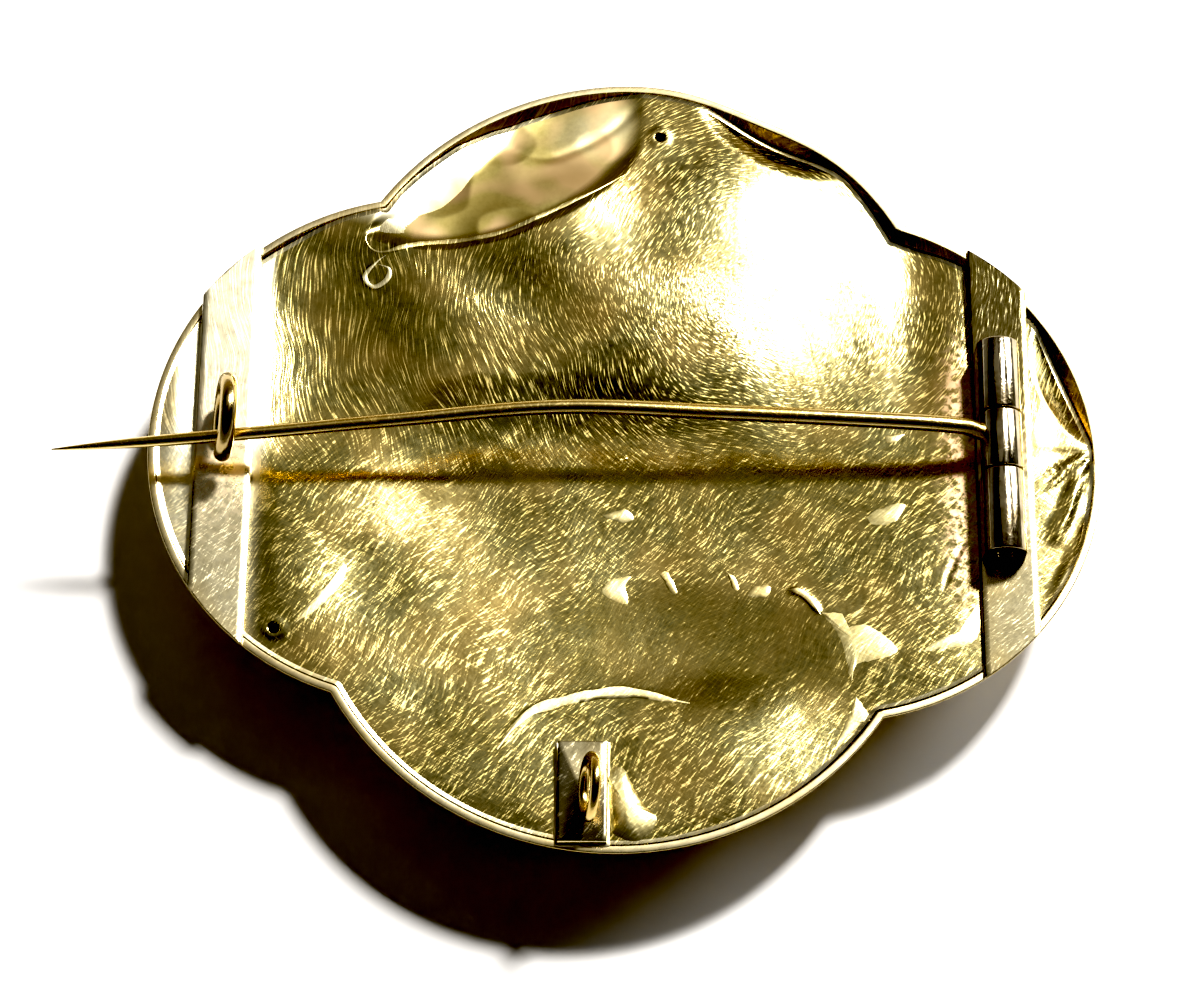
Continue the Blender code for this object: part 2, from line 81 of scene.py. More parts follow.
def lobe_circles():
    """Centre and radius of the right, top, left and bottom lobes of the outline."""
    end = (BODY_WIDTH / 2 - END_LOBE_RADIUS, END_LOBE_RADIUS, END_LOBES_SKEW)
    side = (BODY_HEIGHT / 2 - SIDE_LOBE_RADIUS, SIDE_LOBE_RADIUS, SIDE_LOBES_SKEW)
    circles = []
    for quarter in range(4):
        reach, radius, skew = side if quarter % 2 else end
        turn = quarter * math.pi / 2 + skew
        circles.append((reach * math.cos(turn), reach * math.sin(turn), radius))
    return circles


LOBES = lobe_circles()


def lobe_reach(lobe, turn, inset):
    """Distance from the body's middle to one lobe's circle, drawn in by an inset."""
    x, y, radius = lobe
    along = x * np.cos(turn) + y * np.sin(turn)
    return along + np.sqrt((radius - inset) ** 2 - x * x - y * y + along * along)


def outline_reach(turn, inset=0.0):
    """Distance from the body's middle to its lobed edge, with the knock on its upper right."""
    off = np.mod(turn - EDGE_KNOCK_TURN + math.pi, math.tau) - math.pi
    knock = EDGE_KNOCK_DEPTH * np.exp(-((off / EDGE_KNOCK_SPREAD) ** 2))
    return np.max([lobe_reach(lobe, turn, inset) for lobe in LOBES], axis=0) - knock


def outline_turns(steps):
    """Turns round the outline, even within each lobe, with one in each notch."""
    fine = np.linspace(0, math.tau, 20001)
    leading = np.argmax([lobe_reach(lobe, fine, 0.0) for lobe in LOBES], axis=0)
    notches = fine[1:][np.diff(leading) != 0]
    spans = np.append(notches, notches[0] + math.tau)
    return np.concatenate([np.linspace(a, b, steps, endpoint=False) for a, b in zip(spans, spans[1:])])


def level_loop(reach, turn, height):
    """Points at a reach and height for each turn about the body's middle."""
    return np.column_stack([reach * np.cos(turn), reach * np.sin(turn), np.zeros_like(turn) + height])


def bridged(name, loops, ring=False, capped=True, sharp=40):
    """Piece whose skin runs through equal loops of points, as a closed ring or with capped ends."""
    loops = np.asarray(loops)
    rows, count = loops.shape[:2]
    index = np.arange(rows * count).reshape(rows, count)
    following = np.roll(index, -1, axis=0) if ring else index[1:]
    first = index if ring else index[:-1]
    quads = np.stack([first, np.roll(first, -1, 1), np.roll(following, -1, 1), following], axis=-1)
    faces = quads.reshape(-1, 4).tolist()
    if capped and not ring:
        faces += [index[0][::-1].tolist(), index[-1].tolist()]
    mesh = bpy.data.meshes.new(name)
    mesh.from_pydata(loops.reshape(-1, 3).tolist(), [], faces)
    mesh.shade_smooth()
    mesh.set_sharp_from_angle(angle=math.radians(sharp))
    piece = bpy.data.objects.new(name, mesh)
    bpy.context.scene.collection.objects.link(piece)
    return piece


def dress(piece, material, body, slot, *nodes):
    """Give a piece its finish, its body and the solids it stands for."""
    piece.data.materials.clear()
    piece.data.materials.append(material)
    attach(piece, body)
    if nodes:
        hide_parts(*nodes)


def front_reach(turn, share):
    """Reach of the front's rings, which fade from the lobed outline into a plain oval."""
    long = BODY_WIDTH / 2 - WALL_LEAN
    short = BODY_HEIGHT / 2 - WALL_LEAN
    oval = 1 / np.hypot(np.cos(turn) / long, np.sin(turn) / short)
    fade = np.clip((share - LOBES_FADE_FROM) / (LOBES_FADE_TO - LOBES_FADE_FROM), 0, 1)
    blend = fade * fade * (3 - 2 * fade)
    return (1 - share) * (outline_reach(turn, WALL_LEAN) * (1 - blend) + oval * blend)


def eased(shares, profile, spread):
    """Heights of a profile's straight runs with their corners rounded."""
    stations, heights = np.array(profile).T
    offsets = np.linspace(-spread, spread, 9)
    spots = np.clip(shares[:, None] + offsets, stations[0], stations[-1])
    return np.interp(spots, stations, heights).mean(axis=1)


BODY_TURNS = outline_turns(72)
front_shares = np.concatenate([[0.0], np.linspace(0.03, 0.6, 64)])
front_heights = eased(front_shares, FRONT_PROFILE, 0.012)
front_heights[0] = front_heights[1]
front_heights[-1] = 0.0
front_face = [
    level_loop(front_reach(BODY_TURNS, share), BODY_TURNS, height)
    for share, height in zip(front_shares, front_heights)
]
front_lining = [loop + np.array([0, 0, SHEET]) for loop in front_face]
front = bridged("front_pressing", front_face[::-1] + front_lining)


def node(tree, kind, **settings):
    """Add one shader node, setting its sockets by name and its other properties directly."""
    made = tree.nodes.new(kind)
    for key, value in settings.items():
        if hasattr(made, key):
            setattr(made, key, value)
        else:
            made.inputs[key.replace("_", " ").title()].default_value = value
    return made


def ramp(tree, source, low, high, start=0.0, end=1.0):
    """Map a value from one range to another, held at its ends."""
    made = tree.nodes.new("ShaderNodeMapRange")
    for socket, value in zip(("From Min", "From Max", "To Min", "To Max"), (low, high, start, end)):
        made.inputs[socket].default_value = value
    tree.links.new(source, made.inputs["Value"])
    return made.outputs["Result"]


SCRATCH_WANDER = 3 * MM


def scratches(tree, place, directions, length, width):
    """Depth of fine scratches crossing in several directions, as a polishing cloth leaves them."""
    drift = node(tree, "ShaderNodeTexNoise", scale=90.0, detail=1.0)
    tree.links.new(place, drift.inputs["Vector"])
    swung = node(tree, "ShaderNodeVectorMath", operation="MULTIPLY_ADD")
    swung.inputs[1].default_value = (SCRATCH_WANDER, SCRATCH_WANDER, SCRATCH_WANDER)
    tree.links.new(drift.outputs["Color"], swung.inputs[0])
    tree.links.new(place, swung.inputs[2])
    total = None
    for step in range(directions):
        lay = node(tree, "ShaderNodeMapping", vector_type="TEXTURE")
        lay.inputs["Location"].default_value = (0.17 * step, 0.23 * step, 0.09 * step)
        lay.inputs["Rotation"].default_value = (0, 0, math.pi * (step + 0.3) / directions)
        lay.inputs["Scale"].default_value = (length, width, length)
        tree.links.new(swung.outputs["Vector"], lay.inputs["Vector"])
        grain = node(tree, "ShaderNodeTexNoise", scale=1.0, detail=0.0)
        tree.links.new(lay.outputs["Vector"], grain.inputs["Vector"])
        lines = ramp(tree, grain.outputs["Fac"], 0.56, 0.86)
        total = lines if total is None else added(tree, total, lines)
    return total


def multiplied(tree, first, second):
    """Product of two values."""
    made = node(tree, "ShaderNodeMath", operation="MULTIPLY")
    tree.links.new(first, made.inputs[0])
    tree.links.new(second, made.inputs[1])
    return made.outputs["Value"]


def added(tree, first, second, share=1.0):
    """Sum of one value and a share of another."""
    made = node(tree, "ShaderNodeMath", operation="MULTIPLY_ADD")
    tree.links.new(second, made.inputs[0])
    made.inputs[1].default_value = share
    tree.links.new(first, made.inputs[2])
    return made.outputs["Value"]


def blended(tree, share, first, second):
    """Colour between two others."""
    made = node(tree, "ShaderNodeMix", data_type="RGBA")
    tree.links.new(share, made.inputs["Factor"])
    for socket, colour in (("A", first), ("B", second)):
        target = [s for s in made.inputs if s.name == socket and s.type == "RGBA"][0]
        if isinstance(colour, tuple):
            target.default_value = (*colour, 1.0)
        else:
            tree.links.new(colour, target)
    return [s for s in made.outputs if s.type == "RGBA"][0]


def cloud(tree, place, size, low, high, detail=5.0):
    """Soft patches of about one size, from none to full."""
    made = node(tree, "ShaderNodeTexNoise", scale=1 / size, detail=detail, roughness=0.6)
    tree.links.new(place, made.inputs["Vector"])
    return ramp(tree, made.outputs["Fac"], low, high)


def start_metal(name):
    """New metal, with its tree, its shader and the place of each point on the piece."""
    material = bpy.data.materials.new(name)
    material.use_nodes = True
    tree = material.node_tree
    shader = tree.nodes["Principled BSDF"]
    shader.inputs["Metallic"].default_value = 1.0
    return material, tree, shader, node(tree, "ShaderNodeTexCoord").outputs["Object"]


def roughened(tree, shader, relief, depth):
    """Give a shader the small relief of its surface, pressed in by a depth."""
    bump = node(tree, "ShaderNodeBump", invert=True)
    bump.inputs["Strength"].default_value = 1.0
    bump.inputs["Distance"].default_value = depth
    tree.links.new(relief, bump.inputs["Height"])
    tree.links.new(bump.outputs["Normal"], shader.inputs["Normal"])


def drawn_gold(name, colour, tarnish, roughness, scratch_depth, stain_size):
    """Gold of the drawn and pressed pieces: clouded with tarnish and finely scratched."""
    material, tree, shader, place = start_metal(name)
    stain = cloud(tree, place, stain_size, 0.45, 0.75)
    tree.links.new(blended(tree, stain, colour, tarnish), shader.inputs["Base Color"])
    marks = scratches(tree, place, 3, 1.2 * MM, 0.1 * MM)
    gloss = added(tree, ramp(tree, marks, 0.0, 1.0, roughness, roughness + 0.06), stain, 0.08)
    tree.links.new(gloss, shader.inputs["Roughness"])
    roughened(tree, shader, marks, scratch_depth)
    return material


GOLD = (0.83, 0.66, 0.24)
BROWNED_GOLD = (0.55, 0.37, 0.10)
front_gold = drawn_gold("front_gold", GOLD, BROWNED_GOLD, 0.16, 0.003 * MM, 6 * MM)
dress(front, front_gold, "brooch_body", "body_gold", "front_shell")

# Border wire: two fine gold wires twisted together and soldered round the front's flange.
# The twist is even, so its beads run round all four lobes without a break.
BORDER_INSET = 0.75 * MM
BORDER_TWISTS = 112
STRAND_RADIUS = 0.2 * MM
border_low, border_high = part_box("front_border_wire")
border_middle = (border_low.z + border_high.z) / 2


def swept(name, path, radii, sides, ring=False):
    """Round wire along a path, with a radius at each point and its section kept from twisting."""
    path = np.asarray(path)
    heading = np.roll(path, -1, 0) - np.roll(path, 1, 0)
    if not ring:
        heading[0] = path[1] - path[0]
        heading[-1] = path[-1] - path[-2]
    heading /= np.linalg.norm(heading, axis=1)[:, None]
    side = np.cross(heading[0], (0.0, 0.0, 1.0))
    if np.linalg.norm(side) < 0.1:
        side = np.cross(heading[0], (0.0, 1.0, 0.0))
    turn = np.arange(sides) * math.tau / sides
    loops = []
    for point, ahead, radius in zip(path, heading, radii):
        side = side - ahead * np.dot(side, ahead)
        side /= np.linalg.norm(side)
        up = np.cross(side, ahead)
        loops.append(point + radius * (np.cos(turn)[:, None] * side + np.sin(turn)[:, None] * up))
    return bridged(name, loops, ring=ring)


border_turns = outline_turns(260)
border_reach = outline_reach(border_turns, WALL_LEAN + BORDER_INSET)
border_path = level_loop(border_reach, border_turns, border_middle)
border_steps = np.linalg.norm(np.roll(border_path, -1, 0) - border_path, axis=1)
border_share = np.concatenate([[0], np.cumsum(border_steps)[:-1]]) / border_steps.sum()
for strand in range(2):
    twist = math.tau * (BORDER_TWISTS * border_share + strand / 2)
    reach = border_reach + STRAND_RADIUS * np.cos(twist)
    path = level_loop(reach, border_turns, border_middle + STRAND_RADIUS * np.sin(twist))
    wire = swept(f"border_strand_{strand + 1}", path, [STRAND_RADIUS] * len(path), 8, ring=True)
    dress(wire, front_gold, "brooch_body", "body_gold", *(["front_border_wire"] if strand == 0 else []))

# Side wall: a strip of gold bent round the four lobes and soldered to the front's flange.
# Its upper edge is the bright rim that frames the back, filed round and worn a little uneven; the pale coat
# on its rounded top is partly wear and partly a painted highlight.
WALL_THICKNESS = 0.42 * MM
RIM_ROUND = 0.07 * MM
wall_low, wall_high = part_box("side_wall")
RIM = wall_high.z
rim_corner = np.linspace(0, math.pi / 2, 5)
wall_section = [(WALL_LEAN, wall_low.z)]
wall_section += [(RIM_ROUND * (1 - math.cos(a)), RIM - RIM_ROUND * (1 - math.sin(a))) for a in rim_corner]
wall_section += [
    (WALL_THICKNESS - RIM_ROUND * (1 - math.sin(a)), RIM - RIM_ROUND * (1 - math.cos(a))) for a in rim_corner
]
wall_section.append((WALL_LEAN + WALL_THICKNESS, wall_low.z))
wall_turns = outline_turns(110)
wall_loops = []
for inset, height in wall_section[::-1]:
    wall_loops.append(level_loop(outline_reach(wall_turns, inset), wall_turns, height))
wall = bridged("edge_wall", wall_loops, ring=True)


def points_of(piece):
    """Places of a piece's points, as three rows."""
    flat = np.empty(3 * len(piece.data.vertices))
    piece.data.vertices.foreach_get("co", flat)
    return flat.reshape(-1, 3).T


def coat(piece, **coats):
    """Keep how much of each coat every point of a piece carries."""
    for name, amounts in coats.items():
        layer = piece.data.attributes.new(name, "FLOAT", "POINT")
        layer.data.foreach_set("value", np.ascontiguousarray(np.clip(amounts, 0, 1), dtype=np.float32))


# Polishing went round this place on the upper half, and slantwise on the lower
POLISHED_ROUND = (9.4 * MM, 11.0 * MM, RIM)
POLISHED_RADIUS = 15 * MM
POLISH_SLANTS = (math.radians(36), math.radians(58))
POLISH_ACROSS = math.radians(-24)
ACROSS_SHARE = 0.35
ARCS_SHARE = 1.3
SLANTS_SHARE = 0.74
STROKE_LENGTH = 1.1 * MM
STROKE_WIDTH = 0.085 * MM


def turned_lay(tree, place, turn, middle=(0, 0, 0)):
    """Place seen from a middle, with its first axis along a turn."""
    lay = node(tree, "ShaderNodeMapping", vector_type="TEXTURE")
    lay.inputs["Location"].default_value = middle
    lay.inputs["Rotation"].default_value = (0, 0, turn)
    tree.links.new(place, lay.inputs["Vector"])
    return lay.outputs["Vector"]


def round_lay(tree, place, middle, radius):
    """Place as a distance round a middle and a distance out from it, joined up at the upper right."""
    off = turned_lay(tree, place, math.radians(-135), middle)
    split = node(tree, "ShaderNodeSeparateXYZ")
    tree.links.new(off, split.inputs["Vector"])
    turn = node(tree, "ShaderNodeMath", operation="ARCTAN2")
    tree.links.new(split.outputs["Y"], turn.inputs[0])
    tree.links.new(split.outputs["X"], turn.inputs[1])
    out = node(tree, "ShaderNodeVectorMath", operation="LENGTH")
    tree.links.new(off, out.inputs[0])
    joined = node(tree, "ShaderNodeCombineXYZ")
    way_round = ramp(tree, turn.outputs["Value"], -math.pi, math.pi, 0.0, math.tau * radius)
    tree.links.new(way_round, joined.inputs["X"])
    tree.links.new(out.outputs["Value"], joined.inputs["Y"])
    return joined.outputs["Vector"]


def strokes(tree, lay):
    """Depth of short fine strokes along the first axis of a lay."""
    drawn_out = node(tree, "ShaderNodeMapping", vector_type="TEXTURE")
    drawn_out.inputs["Scale"].default_value = (STROKE_LENGTH, STROKE_WIDTH, STROKE_LENGTH)
    tree.links.new(lay, drawn_out.inputs["Vector"])
    grain = node(tree, "ShaderNodeTexNoise", scale=1.0, detail=2.0)
    tree.links.new(drawn_out.outputs["Vector"], grain.inputs["Vector"])
    return ramp(tree, grain.outputs["Fac"], 0.44, 0.80)


def polishing(tree, place):
    """Strokes left by polishing: in arcs on the upper half, slantwise on the lower, and a few across."""
    drift = node(tree, "ShaderNodeTexNoise", scale=150.0, detail=1.0)
    tree.links.new(place, drift.inputs["Vector"])
    swung = node(tree, "ShaderNodeVectorMath", operation="MULTIPLY_ADD")
    swung.inputs[1].default_value = (SCRATCH_WANDER, SCRATCH_WANDER, 0)
    tree.links.new(drift.outputs["Color"], swung.inputs[0])
    tree.links.new(place, swung.inputs[2])
    swung = swung.outputs["Vector"]
    split = node(tree, "ShaderNodeSeparateXYZ")
    tree.links.new(swung, split.inputs["Vector"])
    above = ramp(tree, split.outputs["Y"], -1 * MM, 4 * MM)
    below = ramp(tree, split.outputs["Y"], -1 * MM, 4 * MM, 1.0, 0.15)
    arcs = multiplied(tree, strokes(tree, round_lay(tree, swung, POLISHED_ROUND, POLISHED_RADIUS)), above)
    across = strokes(tree, turned_lay(tree, swung, POLISH_ACROSS))
    faint = ramp(tree, across, 0.0, 1.0, 0.0, ACROSS_SHARE)
    total = added(tree, multiplied(tree, faint, below), arcs, ARCS_SHARE)
    for slant in POLISH_SLANTS:
        slanted = strokes(tree, turned_lay(tree, swung, slant))
        total = added(tree, total, multiplied(tree, slanted, below), SLANTS_SHARE)
    return total


# Pale solder colour, which the pale coat also lays on as painted highlight on the rim top, the deep dent's
# facets, the straps and beside the catch strap
PALE_SOLDER_AND_HIGHLIGHT = (0.92, 0.87, 0.70)
WARM_STAIN = (0.70, 0.53, 0.22)
# Warm colour painted into the deep dent as the room's reflection in its smooth floor and facet
PAINTED_WARM_REFLECTION = (0.88, 0.65, 0.35)
BURNT_FLUX = (0.70, 0.46, 0.29)
GRIME_SHADE = 0.6
UNEVEN_SHARE = 2.4


def sheet_gold(name, colour, tarnish, roughness, scratch_depth):
    """Gold of the sheet parts, scratched bright by polishing, pale where solder ran, where wear is and where
    a highlight is painted, with a painted warm reflection where that coat is given.
    """
    material, tree, shader, place = start_metal(name)
    coats = {}
    for key in ("scrubbed", "pale", "flux", "film"):
        coats[key] = node(tree, "ShaderNodeAttribute", attribute_name=key).outputs["Fac"]
    stain = cloud(tree, place, 4 * MM, 0.35, 0.7)
    mottle = cloud(tree, place, 0.8 * MM, 0.3, 0.7, 3.0)
    wash = multiplied(tree, coats["pale"], ramp(tree, mottle, 0.0, 1.0, 0.8, 1.0))
    marks = multiplied(tree, polishing(tree, place), coats["scrubbed"])
    uneven = multiplied(tree, cloud(tree, place, 0.7 * MM, 0.2, 0.8, 2.0), coats["scrubbed"])
    grime = cloud(tree, place, 0.3 * MM, 0.4, 0.7, 4.0)
    tarnish = blended(tree, grime, tarnish, tuple(GRIME_SHADE * part for part in tarnish))
    smooth = ramp(tree, coats["scrubbed"], 0.0, 1.0, 0.6, 0.0)
    bared = ramp(tree, added(tree, added(tree, marks, smooth), stain, -0.35), 0.0, 1.0)
    gold = blended(tree, bared, tarnish, colour)
    gold = blended(tree, wash, gold, PALE_SOLDER_AND_HIGHLIGHT)
    warm = cloud(tree, place, 5 * MM, 0.45, 0.75, 2.0)
    gold = blended(tree, multiplied(tree, warm, coats["scrubbed"]), gold, WARM_STAIN)
    # Painted warm reflection of the room, laid over the gold where that coat is given
    painted_reflection_share = multiplied(tree, coats["film"], cloud(tree, place, 3 * MM, 0.42, 0.56, 1.0))
    gold = blended(tree, painted_reflection_share, gold, PAINTED_WARM_REFLECTION)
    burnt = multiplied(tree, coats["flux"], cloud(tree, place, 0.35 * MM, 0.4, 0.6, 3.0))
    tree.links.new(blended(tree, burnt, gold, BURNT_FLUX), shader.inputs["Base Color"])
    gloss = added(tree, ramp(tree, coats["scrubbed"], 0.0, 1.0, 0.6 * roughness, roughness), stain, 0.03)
    cuts = ramp(tree, marks, 0.45, 0.9)
    for share, coating in ((0.30, wash), (0.20, burnt), (0.24, coats["film"]), (0.19, cuts)):
        gloss = added(tree, gloss, coating, share)
    tree.links.new(gloss, shader.inputs["Roughness"])
    relief = added(tree, marks, multiplied(tree, mottle, coats["pale"]), 0.5)
    roughened(tree, shader, added(tree, relief, uneven, UNEVEN_SHARE), scratch_depth)
    return material


x, y, z = points_of(wall)
# Pale coat on the rim's rounded top: partly wear, partly a painted highlight line
worn = np.clip((z - RIM) / RIM_ROUND + 1, 0, 1)
coat(wall, scrubbed=1 - 0.5 * worn, pale=0.45 * worn)
wall_gold = sheet_gold("wall_gold", GOLD, (0.45, 0.33, 0.10), 0.18, 0.002 * MM)
dress(wall, wall_gold, "brooch_body", "body_gold", "side_wall")

# Back: thin gold sheet let in level with the rim and soldered, pierced by three vents.
# It has been knocked in along the upper edge and polished often, so it is all dents and scratches.
SEAM = 0.05 * MM
BACK_RECESS = 0.06 * MM
VENT_RADIUS = 0.28 * MM
VENT_LIP = 0.04 * MM
VENT_LIP_WIDTH = 0.2 * MM
VENTS = ((1.9 * MM, 18.7 * MM), (-18.0 * MM, -10.0 * MM), (-0.2 * MM, -20.1 * MM))
# Middle, length, width, turn, depth and edge, from 1, crisp, to 2, soft
DENTS = (
    (8.8 * MM, 19.9 * MM, 11.2 * MM, 6.6 * MM, math.radians(-28), 1.4 * MM, 2),
    (24.4 * MM, 4.6 * MM, 8.4 * MM, 5.0 * MM, math.radians(105), 0.9 * MM, 1),
    (0.0 * MM, -2.0 * MM, 38.0 * MM, 37.0 * MM, 0.0, 1.0 * MM, 1.5),
    (3.9 * MM, -10.9 * MM, 19.0 * MM, 8.4 * MM, math.radians(-4), 0.2 * MM, 2),
    (-5.0 * MM, 1.2 * MM, 24.0 * MM, 7.0 * MM, 0.0, 0.16 * MM, 1.5),
)
# The deep dent by the top edge: an oval scoop, and two facets that fall into it from its ends
SCOOP = (-7.6 * MM, 18.0 * MM, 18.4 * MM, 11.6 * MM, math.radians(20))
SCOOP_DEPTH = 0.75 * MM
CREASE_ROUND = 0.1 * MM
CRUMPLE_DEPTH = 0.2 * MM
CRUMPLE_SIZE = 3.2 * MM
# Place where each facet starts, the way it falls and how steeply
SCOOP_FACETS = (
    (-13.0 * MM, 14.4 * MM, math.radians(-37), 0.30),
    (1.2 * MM, 21.0 * MM, math.radians(180), 0.125),
)
# Middle, reach to each side, half width, shear, rise of the left side and fall of the right
ROCKED_PANELS = (
    (8.0 * MM, 9.8 * MM, 7.0 * MM, 7.2 * MM, 0.0, 0.70 * MM),
    (16.8 * MM, 8.5 * MM, 1.4 * MM, 6.0 * MM, 0.0, -0.10 * MM),
    (-11.8 * MM, 6.6 * MM, 4.2 * MM, 4.4 * MM, -0.40, -0.35 * MM),
    (-3.4 * MM, 7.0 * MM, 3.0 * MM, 4.0 * MM, 0.0, -0.12 * MM),
    (-1.8 * MM, 13.6 * MM, 3.4 * MM, 4.6 * MM, 0.0, 0.27 * MM),
    (-19.6 * MM, 3.6 * MM, 2.8 * MM, 4.6 * MM, 0.0, 0.24 * MM),
    (-12.0 * MM, -3.2 * MM, 4.5 * MM, 2.6 * MM, 0.0, 0.13 * MM),
    (8.5 * MM, -16.0 * MM, 3.6 * MM, 3.5 * MM, 0.0, 0.14 * MM),
    (-15.2 * MM, -7.9 * MM, 2.2 * MM, 3.0 * MM, 0.0, 0.07 * MM),
)
STRAP_WIDTH = 3.0 * MM
STRAPS_X = (-21.04 * MM, 19.96 * MM)
PAD_MIDDLE = (-2.05 * MM, -18.75 * MM)
PAD_SIZE = (2.5 * MM, 5.3 * MM)
HELD_BY_SOLDER = 1.6 * MM
HOLLOW_DEPTH = 0.12 * MM
BROAD_RIPPLE = 0.03 * MM
FINE_RIPPLE = 0.008 * MM
# Places along each fold, its height and its half width
FOLDS = (
    (
        (
            (-13.7, 13.4), (-14.0, 12.3), (-13.2, 11.6), (-11.1, 12.1),
            (-6.8, 12.7), (-2.4, 14.8), (0.0, 16.3),
        ),
        0.03 * MM,
        0.11 * MM,
    ),
    (((3.6, 21.0), (6.3, 18.8), (9.0, 17.6), (12.0, 17.0)), 0.03 * MM, 0.16 * MM),
    (((-6.4, -16.4), (-5.4, -15.0), (-4.0, -14.0), (-0.2, -13.2), (3.4, -13.8)), 0.05 * MM, 0.23 * MM),
    (((8.4, -7.5), (9.1, -7.6), (9.7, -8.1), (10.2, -8.9)), 0.08 * MM, 0.18 * MM),
    (
        (
            (-12.9, 11.4), (-13.4, 11.0), (-14.0, 10.2), (-13.5, 9.6),
            (-12.8, 10.0), (-12.7, 10.6), (-13.3, 10.9),
        ),
        0.03 * MM,
        0.14 * MM,
    ),
    (((-6.6, 18.6), (-5.2, 17.8), (-3.6, 17.7), (-0.8, 19.2), (1.1, 21.1)), -0.06 * MM, 0.30 * MM),
    (((16.5, -7.9), (17.2, -6.0), (18.2, -4.3)), -0.05 * MM, 0.12 * MM),
)
# Creases that fan out over the right lobe from the end of its dent
FAN_FROM = (25.0 * MM, 0.8 * MM)
FAN_PITCH = math.radians(13)
FAN_HEIGHT = 0.15 * MM


def dent_share(x, y, middle_x, middle_y, length, width, turn):
    """How far inside an oval dent each place is: one at its middle, none at its edge."""
    along = (x - middle_x) * math.cos(turn) + (y - middle_y) * math.sin(turn)
    across = (y - middle_y) * math.cos(turn) - (x - middle_x) * math.sin(turn)
    return np.maximum(1 - (2 * along / length) ** 2 - (2 * across / width) ** 2, 0.0)


def creased(first, second):
    """The lesser of two depths, rounded where they meet in a crease."""
    meeting = np.maximum(1 - np.abs(first - second) / CREASE_ROUND, 0.0)
    return np.minimum(first, second) - CREASE_ROUND * meeting ** 2 / 4


def facet_depths(x, y):
    """Depth of each facet of the deep dent."""
    depths = []
    for start_x, start_y, way, fall in SCOOP_FACETS:
        depths.append(fall * ((x - start_x) * math.cos(way) + (y - start_y) * math.sin(way)))
    return depths


def scoop_depth(x, y):
    """Depth of the dent by the top edge, where its oval scoop and its facets meet in creases."""
    depth = SCOOP_DEPTH * dent_share(x, y, *SCOOP)
    for facet in facet_depths(x, y):
        depth = creased(depth, facet)
    crumple = CRUMPLE_DEPTH * np.abs(ripple(x, y, CRUMPLE_SIZE, 3.5))
    return np.maximum(depth, 0.0) + crumple * np.clip(depth / (0.2 * MM), 0, 1)


def panel_rise(x, y, middle_x, middle_y, reach, half_width, shear, rise):
    """Lift of a part of the sheet that has rocked over: high on its left, low on its right."""
    across = (x - middle_x) / reach
    up = (y - middle_y - shear * (x - middle_x)) / half_width
    fade = np.where(up < 0, up ** 2, up ** 4)
    return -rise * across * np.exp((1 - across ** 2) / 2 - fade)


def free_share(x, y):
    """None where solder holds the back down under a strap or the pad, one well clear of them."""
    clear = np.min([np.abs(x - strap) - STRAP_WIDTH / 2 for strap in STRAPS_X], axis=0)
    beside_pad = np.abs(x - PAD_MIDDLE[0]) - PAD_SIZE[0] / 2
    beyond_pad = np.abs(y - PAD_MIDDLE[1]) - PAD_SIZE[1] / 2
    pad_clear = np.maximum(beside_pad, beyond_pad)
    share = np.clip(np.minimum(clear, pad_clear) / HELD_BY_SOLDER, 0, 1)
    return share * share * (3 - 2 * share)


def smooth_route(places, spacing):
    """Evenly stepped points on a smooth curve through all the places."""
    places = np.asarray(places)
    ends = np.vstack([2 * places[0] - places[1], places, 2 * places[-1] - places[-2]])
    points = []
    for before, start, end, after in zip(ends, ends[1:], ends[2:], ends[3:]):
        steps = max(2, round(np.linalg.norm(end - start) / spacing))
        t = np.arange(steps)[:, None] / steps
        bend = (end - before) * t + (2 * before - 5 * start + 4 * end - after) * t ** 2
        bend = bend + (3 * start - 3 * end + after - before) * t ** 3
        points.append(start + bend / 2)
    return np.vstack([*points, places[-1:]])


def fold_rise(x, y, places, height, half_width):
    """Lift of a sharp fold along a curve, fading out at both ends."""
    route = smooth_route(np.array(places) * MM, 0.1 * MM)
    lift = np.zeros_like(x)
    reach = 3 * half_width
    low = route.min(axis=0) - reach
    high = route.max(axis=0) + reach
    near = (x > low[0]) & (x < high[0]) & (y > low[1]) & (y < high[1])
    away = np.hypot(x[near][:, None] - route[:, 0], y[near][:, None] - route[:, 1])
    along = np.argmin(away, axis=1) / (len(route) - 1)
    fade = np.clip(5 * np.minimum(along, 1 - along), 0, 1)
    lift[near] = height * np.exp(-((away.min(axis=1) / half_width) ** 2)) * fade
    return lift


def ripple(x, y, size, seed):
    """Smooth random unevenness of about one size, between minus one and one."""
    spots = zip(x.ravel() / size, y.ravel() / size)
    return np.array([noise.noise((across, up, seed)) for across, up in spots]).reshape(x.shape)


def fan_rise(x, y):
    """Lift of the creases that fan out over the right lobe, sharp along their crests."""
    away = np.hypot(x - FAN_FROM[0], y - FAN_FROM[1])
    turn = np.arctan2(y - FAN_FROM[1], x - FAN_FROM[0])
    crests = np.maximum(1 - 3 * np.abs(ripple(turn / FAN_PITCH, away / (3 * MM), 1.0, 7.5)), 0)
    inside = np.clip((x - STRAPS_X[1]) / MM - 1.6, 0, 1) * np.clip((FAN_FROM[1] - y) / MM, 0, 1)
    return FAN_HEIGHT * crests * inside * np.clip(away / (1.5 * MM), 0, 1)


